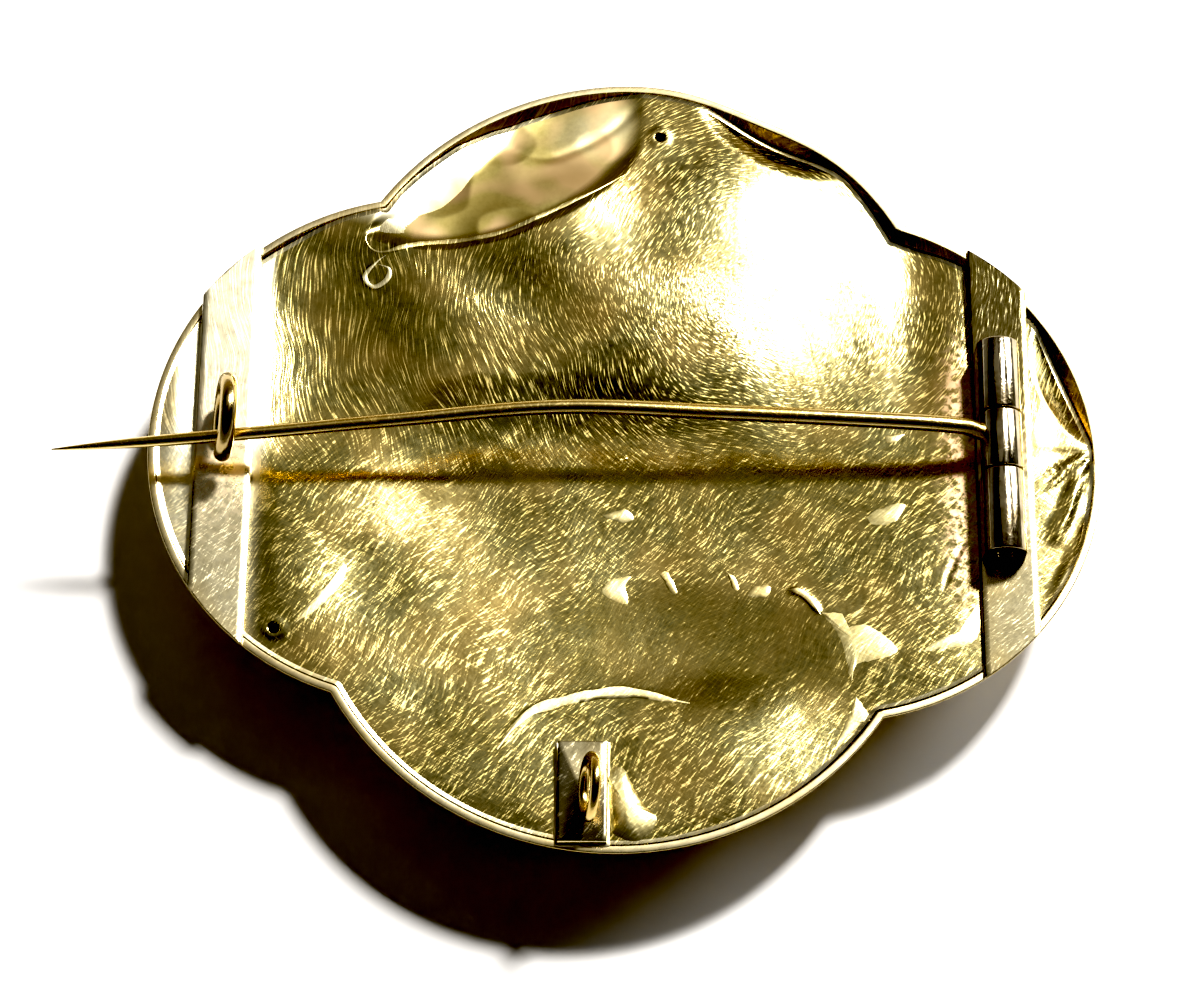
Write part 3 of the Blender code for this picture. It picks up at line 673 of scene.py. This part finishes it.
def back_height(x, y):
    """Height of the back's outside, with all that has happened to it."""
    lift = np.zeros_like(x)
    for panel in ROCKED_PANELS:
        lift += panel_rise(x, y, *panel)
    lift += BROAD_RIPPLE * ripple(x, y, 3.6 * MM, 0.5) + FINE_RIPPLE * ripple(x, y, 1.3 * MM, 4.5)
    for fold in FOLDS:
        lift += fold_rise(x, y, *fold)
    lift += fan_rise(x, y)
    for vent_x, vent_y in VENTS:
        off_lip = np.hypot(x - vent_x, y - vent_y) - 1.5 * VENT_RADIUS
        lift += VENT_LIP * np.exp(-((off_lip / VENT_LIP_WIDTH) ** 2))
    free = free_share(x, y)
    lift *= free + (1 - free) * np.clip(-lift / HOLLOW_DEPTH, 0, 1)
    for *place, deepest, edge in DENTS:
        lift -= deepest * dent_share(x, y, *place) ** edge
    return RIM - BACK_RECESS + lift - scoop_depth(x, y)


def pierced(piece, places, radius):
    """Cut round holes straight down through a piece."""
    turns = np.linspace(0, math.tau, 24, endpoint=False)
    for x, y in places:
        rings = []
        for z in (RIM - 3 * MM, RIM + MM):
            rings.append(level_loop(np.full(24, radius), turns, z) + np.array([x, y, 0]))
        drill = bridged("drill", rings)
        cut = piece.modifiers.new("vent", "BOOLEAN")
        cut.operation = "DIFFERENCE"
        cut.object = drill
        cut.solver = "EXACT"
        ready = piece.evaluated_get(bpy.context.evaluated_depsgraph_get())
        mesh = bpy.data.meshes.new_from_object(ready)
        piece.modifiers.clear()
        piece.data = mesh
        bpy.data.objects.remove(drill)


back_turns = outline_turns(180)
back_shares = np.linspace(1, 0.004, 190)
back_inset = np.full_like(back_turns, WALL_THICKNESS + SEAM)
for _ in range(6):
    back_edge = outline_reach(back_turns, back_inset)
    depth = RIM + SHEET - back_height(back_edge * np.cos(back_turns), back_edge * np.sin(back_turns))
    back_inset = WALL_THICKNESS + SEAM + WALL_LEAN * depth / (RIM - wall_low.z)
back_face = np.array([level_loop(share * back_edge, back_turns, 0.0) for share in back_shares])
back_face[:, :, 2] = back_height(back_face[:, :, 0], back_face[:, :, 1])
back_lining = back_face[::27] - np.array([0, 0, SHEET])
back = bridged("dented_back", list(back_lining[::-1]) + list(back_face))
pierced(back, VENTS, VENT_RADIUS)
x, y, z = points_of(back)
in_scoop = np.minimum(4 * dent_share(x, y, *SCOOP), 1)
in_low_hollow = np.minimum(2 * dent_share(x, y, *DENTS[3][:5]), 1)
left_strip = np.clip((STRAPS_X[0] - x) / MM + 2, 0, 1)
by_hinge = np.exp(-(((x - STRAPS_X[1]) / MM + 2.0) ** 2)) * np.exp(-((y + 1 * MM) / (7 * MM)) ** 4)
left_facet, right_facet = facet_depths(x, y)
oval = SCOOP_DEPTH * dent_share(x, y, *SCOOP)
on_left_facet = in_scoop * np.clip(0.5 + (np.minimum(oval, right_facet) - left_facet) / (0.1 * MM), 0, 1)
on_right_facet = in_scoop * np.clip(0.5 + (np.minimum(oval, left_facet) - right_facet) / (0.1 * MM), 0, 1)
on_floor = in_scoop * (1 - np.clip(on_left_facet + on_right_facet, 0, 1))
# Pale strip beside the catch strap, paler upward: partly a solder run, partly a painted highlight along the
# strap's lit edge
past_catch_strap = (x - STRAPS_X[0] - STRAP_WIDTH / 2) / MM
solder_and_highlight_strip = (past_catch_strap > 0) * np.clip(1.6 - past_catch_strap / 0.55, 0, 1)
solder_and_highlight_strip = solder_and_highlight_strip * np.clip(0.6 + y / (12 * MM), 0.25, 1)
# On the deep dent, the pale coat on its facets is painted highlight, and the warm coat on its floor and
# right facet is a painted reflection of the room
coat(
    back,
    scrubbed=1 - in_scoop - 0.3 * in_low_hollow,
    pale=0.5 * left_strip
    + on_left_facet * np.clip((y - 13.2 * MM) / MM, 0, 1) + 0.35 * on_right_facet + 0.8 * solder_and_highlight_strip,
    flux=1.6 * by_hinge,
    film=on_floor * np.clip(4 * dent_share(x, y, *SCOOP) - 0.3, 0, 1) + on_right_facet,
)
PLATE_GOLD = (0.85, 0.68, 0.25)
PLATE_TARNISH = (0.42, 0.38, 0.19)
back_gold = sheet_gold("back_gold", PLATE_GOLD, PLATE_TARNISH, 0.165, 0.003 * MM)
dress(back, back_gold, "brooch_body", "back_gold", "back_plate")

# Edge solder: a fillet of solder that joins the back's edge to the wall all the way round.
# It was filed and polished level with them, and runs deep where the back has been knocked in.
FILLET_LAP = 0.08 * MM
FILLET_SPREAD = 0.08 * MM
FILLET_FILM = 0.006 * MM
FILLET_ROOT = 0.1 * MM
fillet_outer = back_inset - SEAM - FILLET_LAP
fillet_inner = back_inset + FILLET_SPREAD
edge_place = level_loop(back_edge, back_turns, 0.0)
edge_height = back_height(edge_place[:, 0], edge_place[:, 1])
inner_place = level_loop(outline_reach(back_turns, fillet_inner), back_turns, 0.0)
inner_height = back_height(inner_place[:, 0], inner_place[:, 1])
fillet_loops = []
for inset, height in (
    (fillet_outer, edge_height - FILLET_ROOT),
    (fillet_outer, edge_height + BACK_RECESS + FILLET_FILM),
    (back_inset, edge_height + 0.4 * BACK_RECESS),
    (fillet_inner, inner_height + FILLET_FILM),
    (fillet_inner, inner_height - FILLET_ROOT),
):
    fillet_loops.append(level_loop(outline_reach(back_turns, inset), back_turns, height))
fillet = bridged("edge_solder", fillet_loops[::-1], ring=True)
even = np.ones(len(fillet.data.vertices))
coat(fillet, scrubbed=0.8 * even, pale=0.4 * even)
dress(fillet, back_gold, "brooch_body", "back_gold")

# Burnished crests: polishing has worn the tops of the sharpest folds to fine bright lines.
# They are the back's own metal, rubbed smooth, and taper away where the fold ends.
# Fold, half width and height of its bright line, and how pale it is
CRESTS = (
    (0, 0.14 * MM, 0.02 * MM, 0.1),
    (2, 0.34 * MM, 0.03 * MM, 0.2),
    (3, 0.20 * MM, 0.03 * MM, 0.2),
    (4, 0.15 * MM, 0.02 * MM, 0.4),
)
CREST_SECTION = ((-1.0, -1.5), (-0.8, 0.45), (-0.3, 0.95), (0.3, 0.95), (0.8, 0.45), (1.0, -1.5))
solder_gold = sheet_gold("solder_gold", (0.84, 0.75, 0.38), (0.60, 0.50, 0.21), 0.28, 0.003 * MM)
for fold, half_width, height, paleness in CRESTS:
    route = smooth_route(np.array(FOLDS[fold][0]) * MM, 0.12 * MM)
    along = np.linspace(0, 1, len(route))
    taper = np.clip(4 * np.minimum(along, 1 - along), 0.2, 1)
    widths = half_width * taper * (1 + 0.4 * ripple(*route.T, 0.8 * MM, fold + 20.5))
    heading = np.gradient(route, axis=0)
    heading /= np.linalg.norm(heading, axis=1)[:, None]
    sideways = np.column_stack([-heading[:, 1], heading[:, 0]]) * widths[:, None]
    rows = []
    for aside, lift in CREST_SECTION:
        spots = route + aside * sideways
        level = back_height(*spots.T)
        if lift > 0:
            level = np.maximum(level, back_height(*route.T))
        rows.append(np.column_stack([spots, level + lift * height]))
    crest = bridged(f"burnished_crest_{fold + 1}", np.array(rows).transpose(1, 0, 2))
    even = np.ones(len(crest.data.vertices))
    coat(crest, scrubbed=0.8 * even, pale=paleness * even)
    dress(crest, solder_gold, "brooch_body", "back_gold")

# Solder runs: where the fittings were soldered, solder and flux flowed on over the back and froze
# in thin pale splashes. They are as old as the brooch and polished with it.
# Height, and places round each edge
SPLASHES = (
    (0.025, ((-1.1, -7.4), (-0.6, -6.9), (0.4, -6.7), (0.1, -7.2), (0.2, -8.2), (-0.9, -7.8))),
    (0.025, ((1.9, -6.5), (2.3, -6.5), (2.8, -7.6), (2.4, -7.5))),
    (0.025, ((5.4, -6.5), (5.8, -6.7), (6.0, -7.4), (5.7, -7.4))),
    (0.025, ((6.4, -7.8), (6.8, -7.3), (7.6, -7.3), (7.4, -7.9))),
    (
        0.025,
        (
            (10.3, -8.8), (11.3, -8.9), (11.3, -9.6), (12.7, -9.6),
            (14.1, -11.0), (12.0, -11.7), (11.7, -12.5), (11.2, -10.3),
        ),
    ),
    (0.025, ((11.9, -13.4), (12.6, -14.6), (12.0, -15.0), (10.9, -16.0), (11.5, -14.5))),
    (0.025, ((15.4, -11.0), (16.3, -10.3), (17.6, -9.7), (18.3, -8.4), (18.3, -10.0), (17.5, -10.7))),
    (0.025, ((12.7, -3.5), (13.4, -3.0), (14.7, -2.8), (14.2, -3.7), (13.1, -3.9))),
    (0.025, ((13.8, 1.2), (14.8, 1.3), (14.5, 0.9), (13.9, 0.8))),
    (0.025, ((17.5, 1.3), (18.5, 1.3), (18.1, 0.7))),
    (0.025, ((-1.1, -3.2), (0.1, -2.9), (0.5, -3.5), (-0.4, -3.6))),
    (0.025, ((-16.9, -9.7), (-16.1, -8.4), (-14.5, -6.4), (-14.7, -7.5), (-15.8, -8.9))),
    (
        0.25,
        (
            (-1.0, -17.5), (0.0, -17.4), (0.9, -19.1), (1.7, -20.1),
            (0.9, -21.2), (-0.4, -20.9), (-0.9, -19.4),
        ),
    ),
)
SPLASH_STEPS = (1.0, 0.97, 0.9, 0.75, 0.5, 0.2)
for number, (height, places) in enumerate(SPLASHES):
    closed = np.array([*places, places[0]]) * MM
    edge = smooth_route(closed, 0.12 * MM)[:-1]
    ragged = [ripple(*edge.T, 0.3 * MM, seed) for seed in (number, number + 40.5)]
    edge = edge + 0.07 * MM * np.column_stack(ragged)
    middle = edge.mean(axis=0)
    loops = [np.column_stack([edge, back_height(*edge.T) - 0.05 * MM])]
    for step in SPLASH_STEPS:
        ring = middle + (edge - middle) * step
        crown = height * MM * (1 - step ** 3)
        loops.append(np.column_stack([ring, back_height(*ring.T) + crown]))
    if np.sum(edge[:, 0] * np.roll(edge[:, 1], -1) - np.roll(edge[:, 0], -1) * edge[:, 1]) < 0:
        loops = [loop[::-1] for loop in loops]
    splash = bridged(f"solder_run_{number + 1}", loops)
    count = len(splash.data.vertices)
    coat(splash, scrubbed=np.full(count, 0.8), pale=np.full(count, 0.1))
    dress(splash, solder_gold, "brooch_body", "back_gold")

# Straps: two strips of gold soldered across the back, flush with the outline at both ends.
# One carries the catch and the other the hinge. Solder has stained them paler than the back, and their paler
# ends are partly painted highlight.
strap_gold = sheet_gold("strap_gold", (0.78, 0.68, 0.38), (0.42, 0.35, 0.15), 0.13, 0.0016 * MM)


def strap_piece(name, solid, lobe, tip):
    """Strip with softened edges over a strap's solid, its ends on the outline, worn lower on its left."""
    low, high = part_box(solid)
    lobe_x, lobe_y, radius = lobe
    soft = 0.12 * MM
    section = [(low.x, low.z), (high.x, low.z), (high.x, high.z - soft)]
    section += [(high.x - soft * 0.3, high.z - soft * 0.3), (high.x - soft, high.z)]
    section += [(x, high.z) for x in np.linspace(high.x - soft, low.x + soft, 12)[1:-1]]
    section += [(low.x + soft, high.z), (low.x + soft * 0.3, high.z - soft * 0.3), (low.x, high.z - soft)]
    x, z = np.array(section).T
    z = np.where(z > low.z, z - tip * (high.x - x) / (high.x - low.x), z)
    half = np.sqrt(radius ** 2 - (x - lobe_x) ** 2)
    loops = [np.column_stack([x, lobe_y + half * side, z]) for side in np.linspace(-1, 1, 80)]
    return bridged(name, loops[::-1])


for name, solid, lobe, tip, pale_and_highlight_above, pale_and_highlight_below in (
    ("catch_strip", "catch_strap", LOBES[2], -0.2 * MM, 0.6, 0.4),
    ("hinge_strip", "hinge_strap", LOBES[0], 0.16 * MM, 0.0, 0.3),
):
    strap = strap_piece(name, solid, lobe, tip)
    x, y, z = points_of(strap)
    above = np.clip(0.5 + y / (6 * MM), 0, 1)
    # Pale coat, stronger toward one end, is partly solder stain and partly painted highlight; the burnt tint
    # round each strap's middle, under the catch and hinge, is partly flux and partly painted shadow of them
    coat(
        strap,
        scrubbed=np.full_like(x, 0.8),
        pale=pale_and_highlight_below + (pale_and_highlight_above - pale_and_highlight_below) * above,
        flux=0.4 * np.exp(-((y / (4 * MM)) ** 2)),
    )
    dress(strap, strap_gold, "brooch_body", "strap_gold", solid)

# Catch: a length of round gold wire bent to a C and soldered upright on its strap.
# Its mouth faces the bottom edge, and its lip holds the pin down by the pin's own spring.
CATCH_WIRE_RADIUS = 0.45 * MM
CATCH_BEND_RADIUS = 1.9 * MM
CATCH_X = -20.75 * MM
CATCH_Y = 0.55 * MM
CATCH_LEAN = math.radians(12)
strap_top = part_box("catch_strap")[1].z


def bent_arc(middle, radius, lean, turns):
    """Path of a wire bent to an arc across the pin, leaning over along it."""
    height = radius * np.sin(turns)
    bend = np.column_stack([height * math.sin(lean), radius * np.cos(turns), height * math.cos(lean)])
    return np.array(middle) + bend


catch_turns = np.radians(np.linspace(-108, 202, 60))
catch_radii = np.full(60, CATCH_WIRE_RADIUS)
catch_radii[[0, -1]] *= 0.55
catch_radii[[1, -2]] *= 0.85
catch_middle = (CATCH_X, CATCH_Y, strap_top + SEAM + CATCH_BEND_RADIUS + CATCH_WIRE_RADIUS)
catch_path = bent_arc(catch_middle, CATCH_BEND_RADIUS, CATCH_LEAN, catch_turns)
catch = swept("catch_wire", catch_path, catch_radii, 20)
catch_gold = drawn_gold("catch_gold", (0.58, 0.45, 0.22), (0.26, 0.17, 0.07), 0.16, 0.002 * MM, 2 * MM)
dress(catch, catch_gold, "brooch_body", "fitting_gold", "c_catch")

# Hinge: three lengths of drawn gold tube on one rivet. The outer two are soldered to their strap,
# with the solder run into a foot on both sides, and the middle one turns with the pin.
TUBE_RADIUS = 1.1 * MM
BORE_RADIUS = 0.5 * MM
KNUCKLE_ROUND = 0.09 * MM
hinge_joint = frame["joints"][0]
HINGE_X, _, HINGE_Z = hinge_joint["pos_m"]


def knuckle_reach(turns, soldered):
    """Reach of a knuckle's outside: round, or flared into a solder foot on the strap below."""
    if not soldered:
        return np.full_like(turns, TUBE_RADIUS)
    off_down = np.abs(np.mod(turns + 1.5 * math.pi, math.tau) - math.pi)
    corner = math.radians(45)
    flare_end = math.radians(85)
    flare = np.clip(1 - (off_down - corner) / (flare_end - corner), 0.0, 1.0)
    foot = TUBE_RADIUS / np.cos(np.minimum(off_down, corner))
    round_side = TUBE_RADIUS * (1 + (1 / math.cos(corner) - 1) * flare ** 2)
    return np.where(off_down <= corner, foot, round_side)


def knuckle_piece(name, solid, soldered):
    """Length of tube with worn ends, about the hinge's axis."""
    low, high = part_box(solid)
    turns = np.linspace(0, math.tau, 64, endpoint=False)
    outside = knuckle_reach(turns, soldered)
    bore = np.full_like(turns, BORE_RADIUS)
    worn = []
    for lift in np.linspace(0, math.pi / 2, 5):
        worn.append((KNUCKLE_ROUND * (1 - math.sin(lift)), outside - KNUCKLE_ROUND * (1 - math.cos(lift))))
    rings = [(low.y + inset, reach) for inset, reach in worn[::-1]]
    rings += [(high.y - inset, reach) for inset, reach in worn]
    rings += [(high.y, bore), (low.y, bore)]
    loops = []
    for y, reach in rings:
        loop = [HINGE_X + reach * np.cos(turns), np.full_like(turns, y), HINGE_Z + reach * np.sin(turns)]
        loops.append(np.column_stack(loop))
    return bridged(name, loops[::-1], ring=True)


tube_gold = drawn_gold("tube_gold", (0.62, 0.54, 0.38), (0.22, 0.16, 0.08), 0.09, 0.002 * MM, 2 * MM)
for side in ("lower", "upper"):
    knuckle = knuckle_piece(f"{side}_knuckle", f"hinge_knuckle_{side}", True)
    dress(knuckle, tube_gold, "brooch_body", "fitting_gold", f"hinge_knuckle_{side}")
frame["nodes"]["hinge_rivet"].data.materials.clear()
frame["nodes"]["hinge_rivet"].data.materials.append(tube_gold)

# Pin: a springy gold wire set into the middle knuckle, bowed over the back and drawn to a point.
# It has been straightened by hand, which left a slight kink near the middle of its length.
PIN_ROOT_RADIUS = 0.46 * MM
PIN_CATCH_RADIUS = 0.34 * MM
PIN_POINT_RADIUS = 0.04 * MM
PIN_POINT_TAPER = 2.6
PIN_ROOT_Y = 0.45 * MM
PIN_ROOT_SLOPE = math.radians(164)
PIN_SOCKET_DEPTH = 0.42 * MM
PIN_ROUTE = (
    (17.95 * MM, 0.54 * MM, 2.2 * MM),
    (17.0 * MM, 0.6 * MM, 2.4 * MM),
    (14.0 * MM, 0.74 * MM, 2.55 * MM),
    (5.0 * MM, 1.04 * MM, 2.8 * MM),
    (-3.4 * MM, 1.16 * MM, 3.1 * MM),
    (-12.0 * MM, 0.43 * MM, 2.9 * MM),
    (-19.9 * MM, -0.28 * MM, 2.6 * MM),
    (-29.8 * MM, -0.84 * MM, 1.7 * MM),
)
pin_gold = drawn_gold("pin_gold", (0.88, 0.70, 0.32), BROWNED_GOLD, 0.2, 0.002 * MM, 4 * MM)


def pin_root(reach):
    """Point on the line that the pin's root takes out of its knuckle."""
    along = reach * math.cos(PIN_ROOT_SLOPE)
    up = reach * math.sin(PIN_ROOT_SLOPE)
    return (HINGE_X + along, PIN_ROOT_Y, HINGE_Z + up)


pin_places = [pin_root(TUBE_RADIUS - PIN_SOCKET_DEPTH + SEAM), pin_root(1.2 * TUBE_RADIUS)]
pin_places += [(x, y, RIM + z) for x, y, z in PIN_ROUTE]
pin_path = smooth_route(pin_places, 0.4 * MM)
catch_x = pin_places[-2][0]
point_x = pin_places[-1][0]
to_catch = (HINGE_X - pin_path[:, 0]) / (HINGE_X - catch_x)
past_catch = np.clip((pin_path[:, 0] - catch_x) / (point_x - catch_x), 0, 1)
pin_radii = PIN_ROOT_RADIUS + (PIN_CATCH_RADIUS - PIN_ROOT_RADIUS) * np.clip(to_catch, 0, 1)
pin_radii = pin_radii + (PIN_POINT_RADIUS - PIN_CATCH_RADIUS) * past_catch ** PIN_POINT_TAPER
dress(swept("pin_wire", pin_path, pin_radii, 20), pin_gold, "pin", "pin_gold", "pin_stem")
dress(knuckle_piece("middle_knuckle", "pin_knuckle", False), tube_gold, "pin", "pin_gold", "pin_knuckle")

# Chain loop: a ring of thin wire standing on a small cut plate near the bottom edge.
# A safety chain hooks in it, and a bright run of solder holds it to the plate.
LOOP_WIRE_RADIUS = 0.28 * MM
LOOP_BEND_RADIUS = 1.5 * MM
LOOP_X = -1.68 * MM
LOOP_Y = -19.1 * MM
LOOP_LEAN = math.radians(12)
loop_turns = np.linspace(0, math.tau, 72, endpoint=False)
pad_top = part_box("loop_pad")[1].z
loop_middle = (LOOP_X, LOOP_Y, pad_top + SEAM + LOOP_BEND_RADIUS + LOOP_WIRE_RADIUS)
loop_path = bent_arc(loop_middle, LOOP_BEND_RADIUS, LOOP_LEAN, loop_turns)
chain_loop = swept("chain_loop", loop_path, [LOOP_WIRE_RADIUS] * 72, 16, ring=True)
loop_gold = drawn_gold("loop_gold", (0.80, 0.62, 0.28), BROWNED_GOLD, 0.14, 0.002 * MM, 2 * MM)
dress(chain_loop, loop_gold, "brooch_body", "fitting_gold", "pendant_loop")
PAD_SOFT = 0.1 * MM
pad_low, pad_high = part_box("loop_pad")
pad_corners = np.array([(-1, -1), (1, -1), (1, 1), (-1, 1), (-1, -1)]) / 2
pad_along = np.linspace(0, 4, 64, endpoint=False)
pad_edge = np.column_stack([np.interp(pad_along, range(5), pad_corners[:, axis]) for axis in (0, 1)])
pad_loops = []
for inset, height in (
    (0.0, pad_low.z),
    (0.0, pad_high.z - PAD_SOFT),
    (0.3 * PAD_SOFT, pad_high.z - 0.3 * PAD_SOFT),
    (PAD_SOFT, pad_high.z),
):
    ring = pad_edge * (np.array(PAD_SIZE) - 2 * inset) + np.array(PAD_MIDDLE)
    pad_loops.append(np.column_stack([ring, np.full(64, height)]))
pad = bridged("loop_plate", pad_loops)
count = len(pad.data.vertices)
coat(pad, scrubbed=np.full(count, 0.8), pale=np.full(count, 0.35))
dress(pad, strap_gold, "brooch_body", "strap_gold", "loop_pad")
fringe_path = pad_edge * (np.array(PAD_SIZE) + PAD_SOFT) + np.array(PAD_MIDDLE)
fringe_radii = 0.11 * MM * (1 + 0.5 * ripple(*fringe_path.T, 0.7 * MM, 9.5))
fringe_path = np.column_stack([fringe_path, back_height(*fringe_path.T) + 0.04 * MM])
fringe = swept("loop_plate_solder", fringe_path, fringe_radii, 8, ring=True)
count = len(fringe.data.vertices)
coat(fringe, scrubbed=np.full(count, 0.6), pale=np.full(count, 0.7))
dress(fringe, solder_gold, "brooch_body", "strap_gold")

# Table, light and camera: a white table top, a strong lamp and a window at the upper right, a pale card
# above, pale walls low round a dark room, and a close view from the bottom edge, a little tilted.
table_mesh = bpy.data.meshes.new("table")
table_mesh.from_pydata([(-2, -2, 0), (2, -2, 0), (2, 2, 0), (-2, 2, 0)], [], [(0, 1, 2, 3)])
table = bpy.data.objects.new("table", table_mesh)
bpy.context.scene.collection.objects.link(table)
table_white = bpy.data.materials.new("table_white")
table_white.use_nodes = True
table_white.node_tree.nodes["Principled BSDF"].inputs["Base Color"].default_value = (0.92, 0.91, 0.90, 1)
table_white.node_tree.nodes["Principled BSDF"].inputs["Roughness"].default_value = 0.8
table_mesh.materials.append(table_white)

# Direction, distance, size, power and colour
LIGHTS = {
    "lamp": ((0.42, 0.55, 1.0), 0.6, 0.07, 5.6, (1.0, 0.98, 0.95)),
    "window": ((1.2, 0.9, 0.8), 0.6, 0.25, 1.6, (1.0, 1.0, 1.0)),
    "pale_card": ((-0.16, 0.38, 0.91), 0.5, 0.22, 0.03, (1.0, 0.95, 0.85)),
}
for name, (towards, distance, size, power, colour) in LIGHTS.items():
    light = bpy.data.lights.new(name, "AREA")
    light.size = size
    light.energy = power
    light.color = colour
    fixture = bpy.data.objects.new(name, light)
    aim = Vector(towards).normalized()
    fixture.location = aim * distance
    fixture.rotation_euler = aim.to_track_quat("Z", "Y").to_euler()
    fixture.visible_camera = False
    bpy.context.scene.collection.objects.link(fixture)

room = bpy.data.worlds.new("room")
bpy.context.scene.world = room
room.use_nodes = True
room_tree = room.node_tree
sky = room_tree.nodes["Background"]
towards = node(room_tree, "ShaderNodeTexCoord").outputs["Generated"]
split = node(room_tree, "ShaderNodeSeparateXYZ")
room_tree.links.new(towards, split.inputs["Vector"])
far_wall = ramp(room_tree, split.outputs["Y"], 0.45, 0.9)
ceiling = ramp(room_tree, split.outputs["Z"], 0.5, 0.95, 0.0, 0.04)
rays = node(room_tree, "ShaderNodeLightPath")
seen = rays.outputs["Is Camera Ray"]
low_walls = ramp(room_tree, split.outputs["Z"], 0.25, 0.55, 0.18, 0.0)
low_walls = multiplied(room_tree, low_walls, rays.outputs["Is Glossy Ray"])
dim = added(room_tree, added(room_tree, ceiling, low_walls), far_wall, 0.15)
room_tree.links.new(added(room_tree, dim, seen), sky.inputs["Strength"])
warmth = node(room_tree, "ShaderNodeMath", operation="SUBTRACT")
room_tree.links.new(far_wall, warmth.inputs[0])
room_tree.links.new(seen, warmth.inputs[1])
ROOM_WHITE = (1.0, 1.0, 1.0)
FAR_WALL_WARM = (1.0, 0.80, 0.52)
tint = blended(room_tree, warmth.outputs["Value"], ROOM_WHITE, FAR_WALL_WARM)
room_tree.links.new(tint, sky.inputs["Color"])

CAMERA_DISTANCE = 170 * MM
CAMERA_TILT = math.radians(22)
CAMERA_ROLL = math.radians(0.38)
CAMERA_LENS = 97.1
VIEW_ORIGIN = Vector((0.05 * MM, -0.85 * MM, RIM))
PICTURE_OFFSET = Vector((1.313 * MM, 1.917 * MM, 0.0))
facing = Matrix.Rotation(CAMERA_TILT, 4, "X") @ Matrix.Rotation(CAMERA_ROLL, 4, "Z")
back_off = Vector((0, 0, CAMERA_DISTANCE)) - PICTURE_OFFSET
camera_data = bpy.data.cameras.new("camera")
camera_data.lens = CAMERA_LENS
camera_data.sensor_width = 36
camera_data.clip_start = 0.01
camera = bpy.data.objects.new("camera", camera_data)
camera.matrix_world = Matrix.Translation(VIEW_ORIGIN + facing.to_3x3() @ back_off) @ facing
bpy.context.scene.collection.objects.link(camera)
bpy.context.scene.camera = camera
bpy.context.scene.view_settings.view_transform = "Standard"
bpy.context.scene.view_settings.look = "Medium High Contrast"
bpy.context.scene.view_settings.use_curve_mapping = True
bpy.context.scene.view_settings.curve_mapping.black_level = (0.042, 0.042, 0.042)
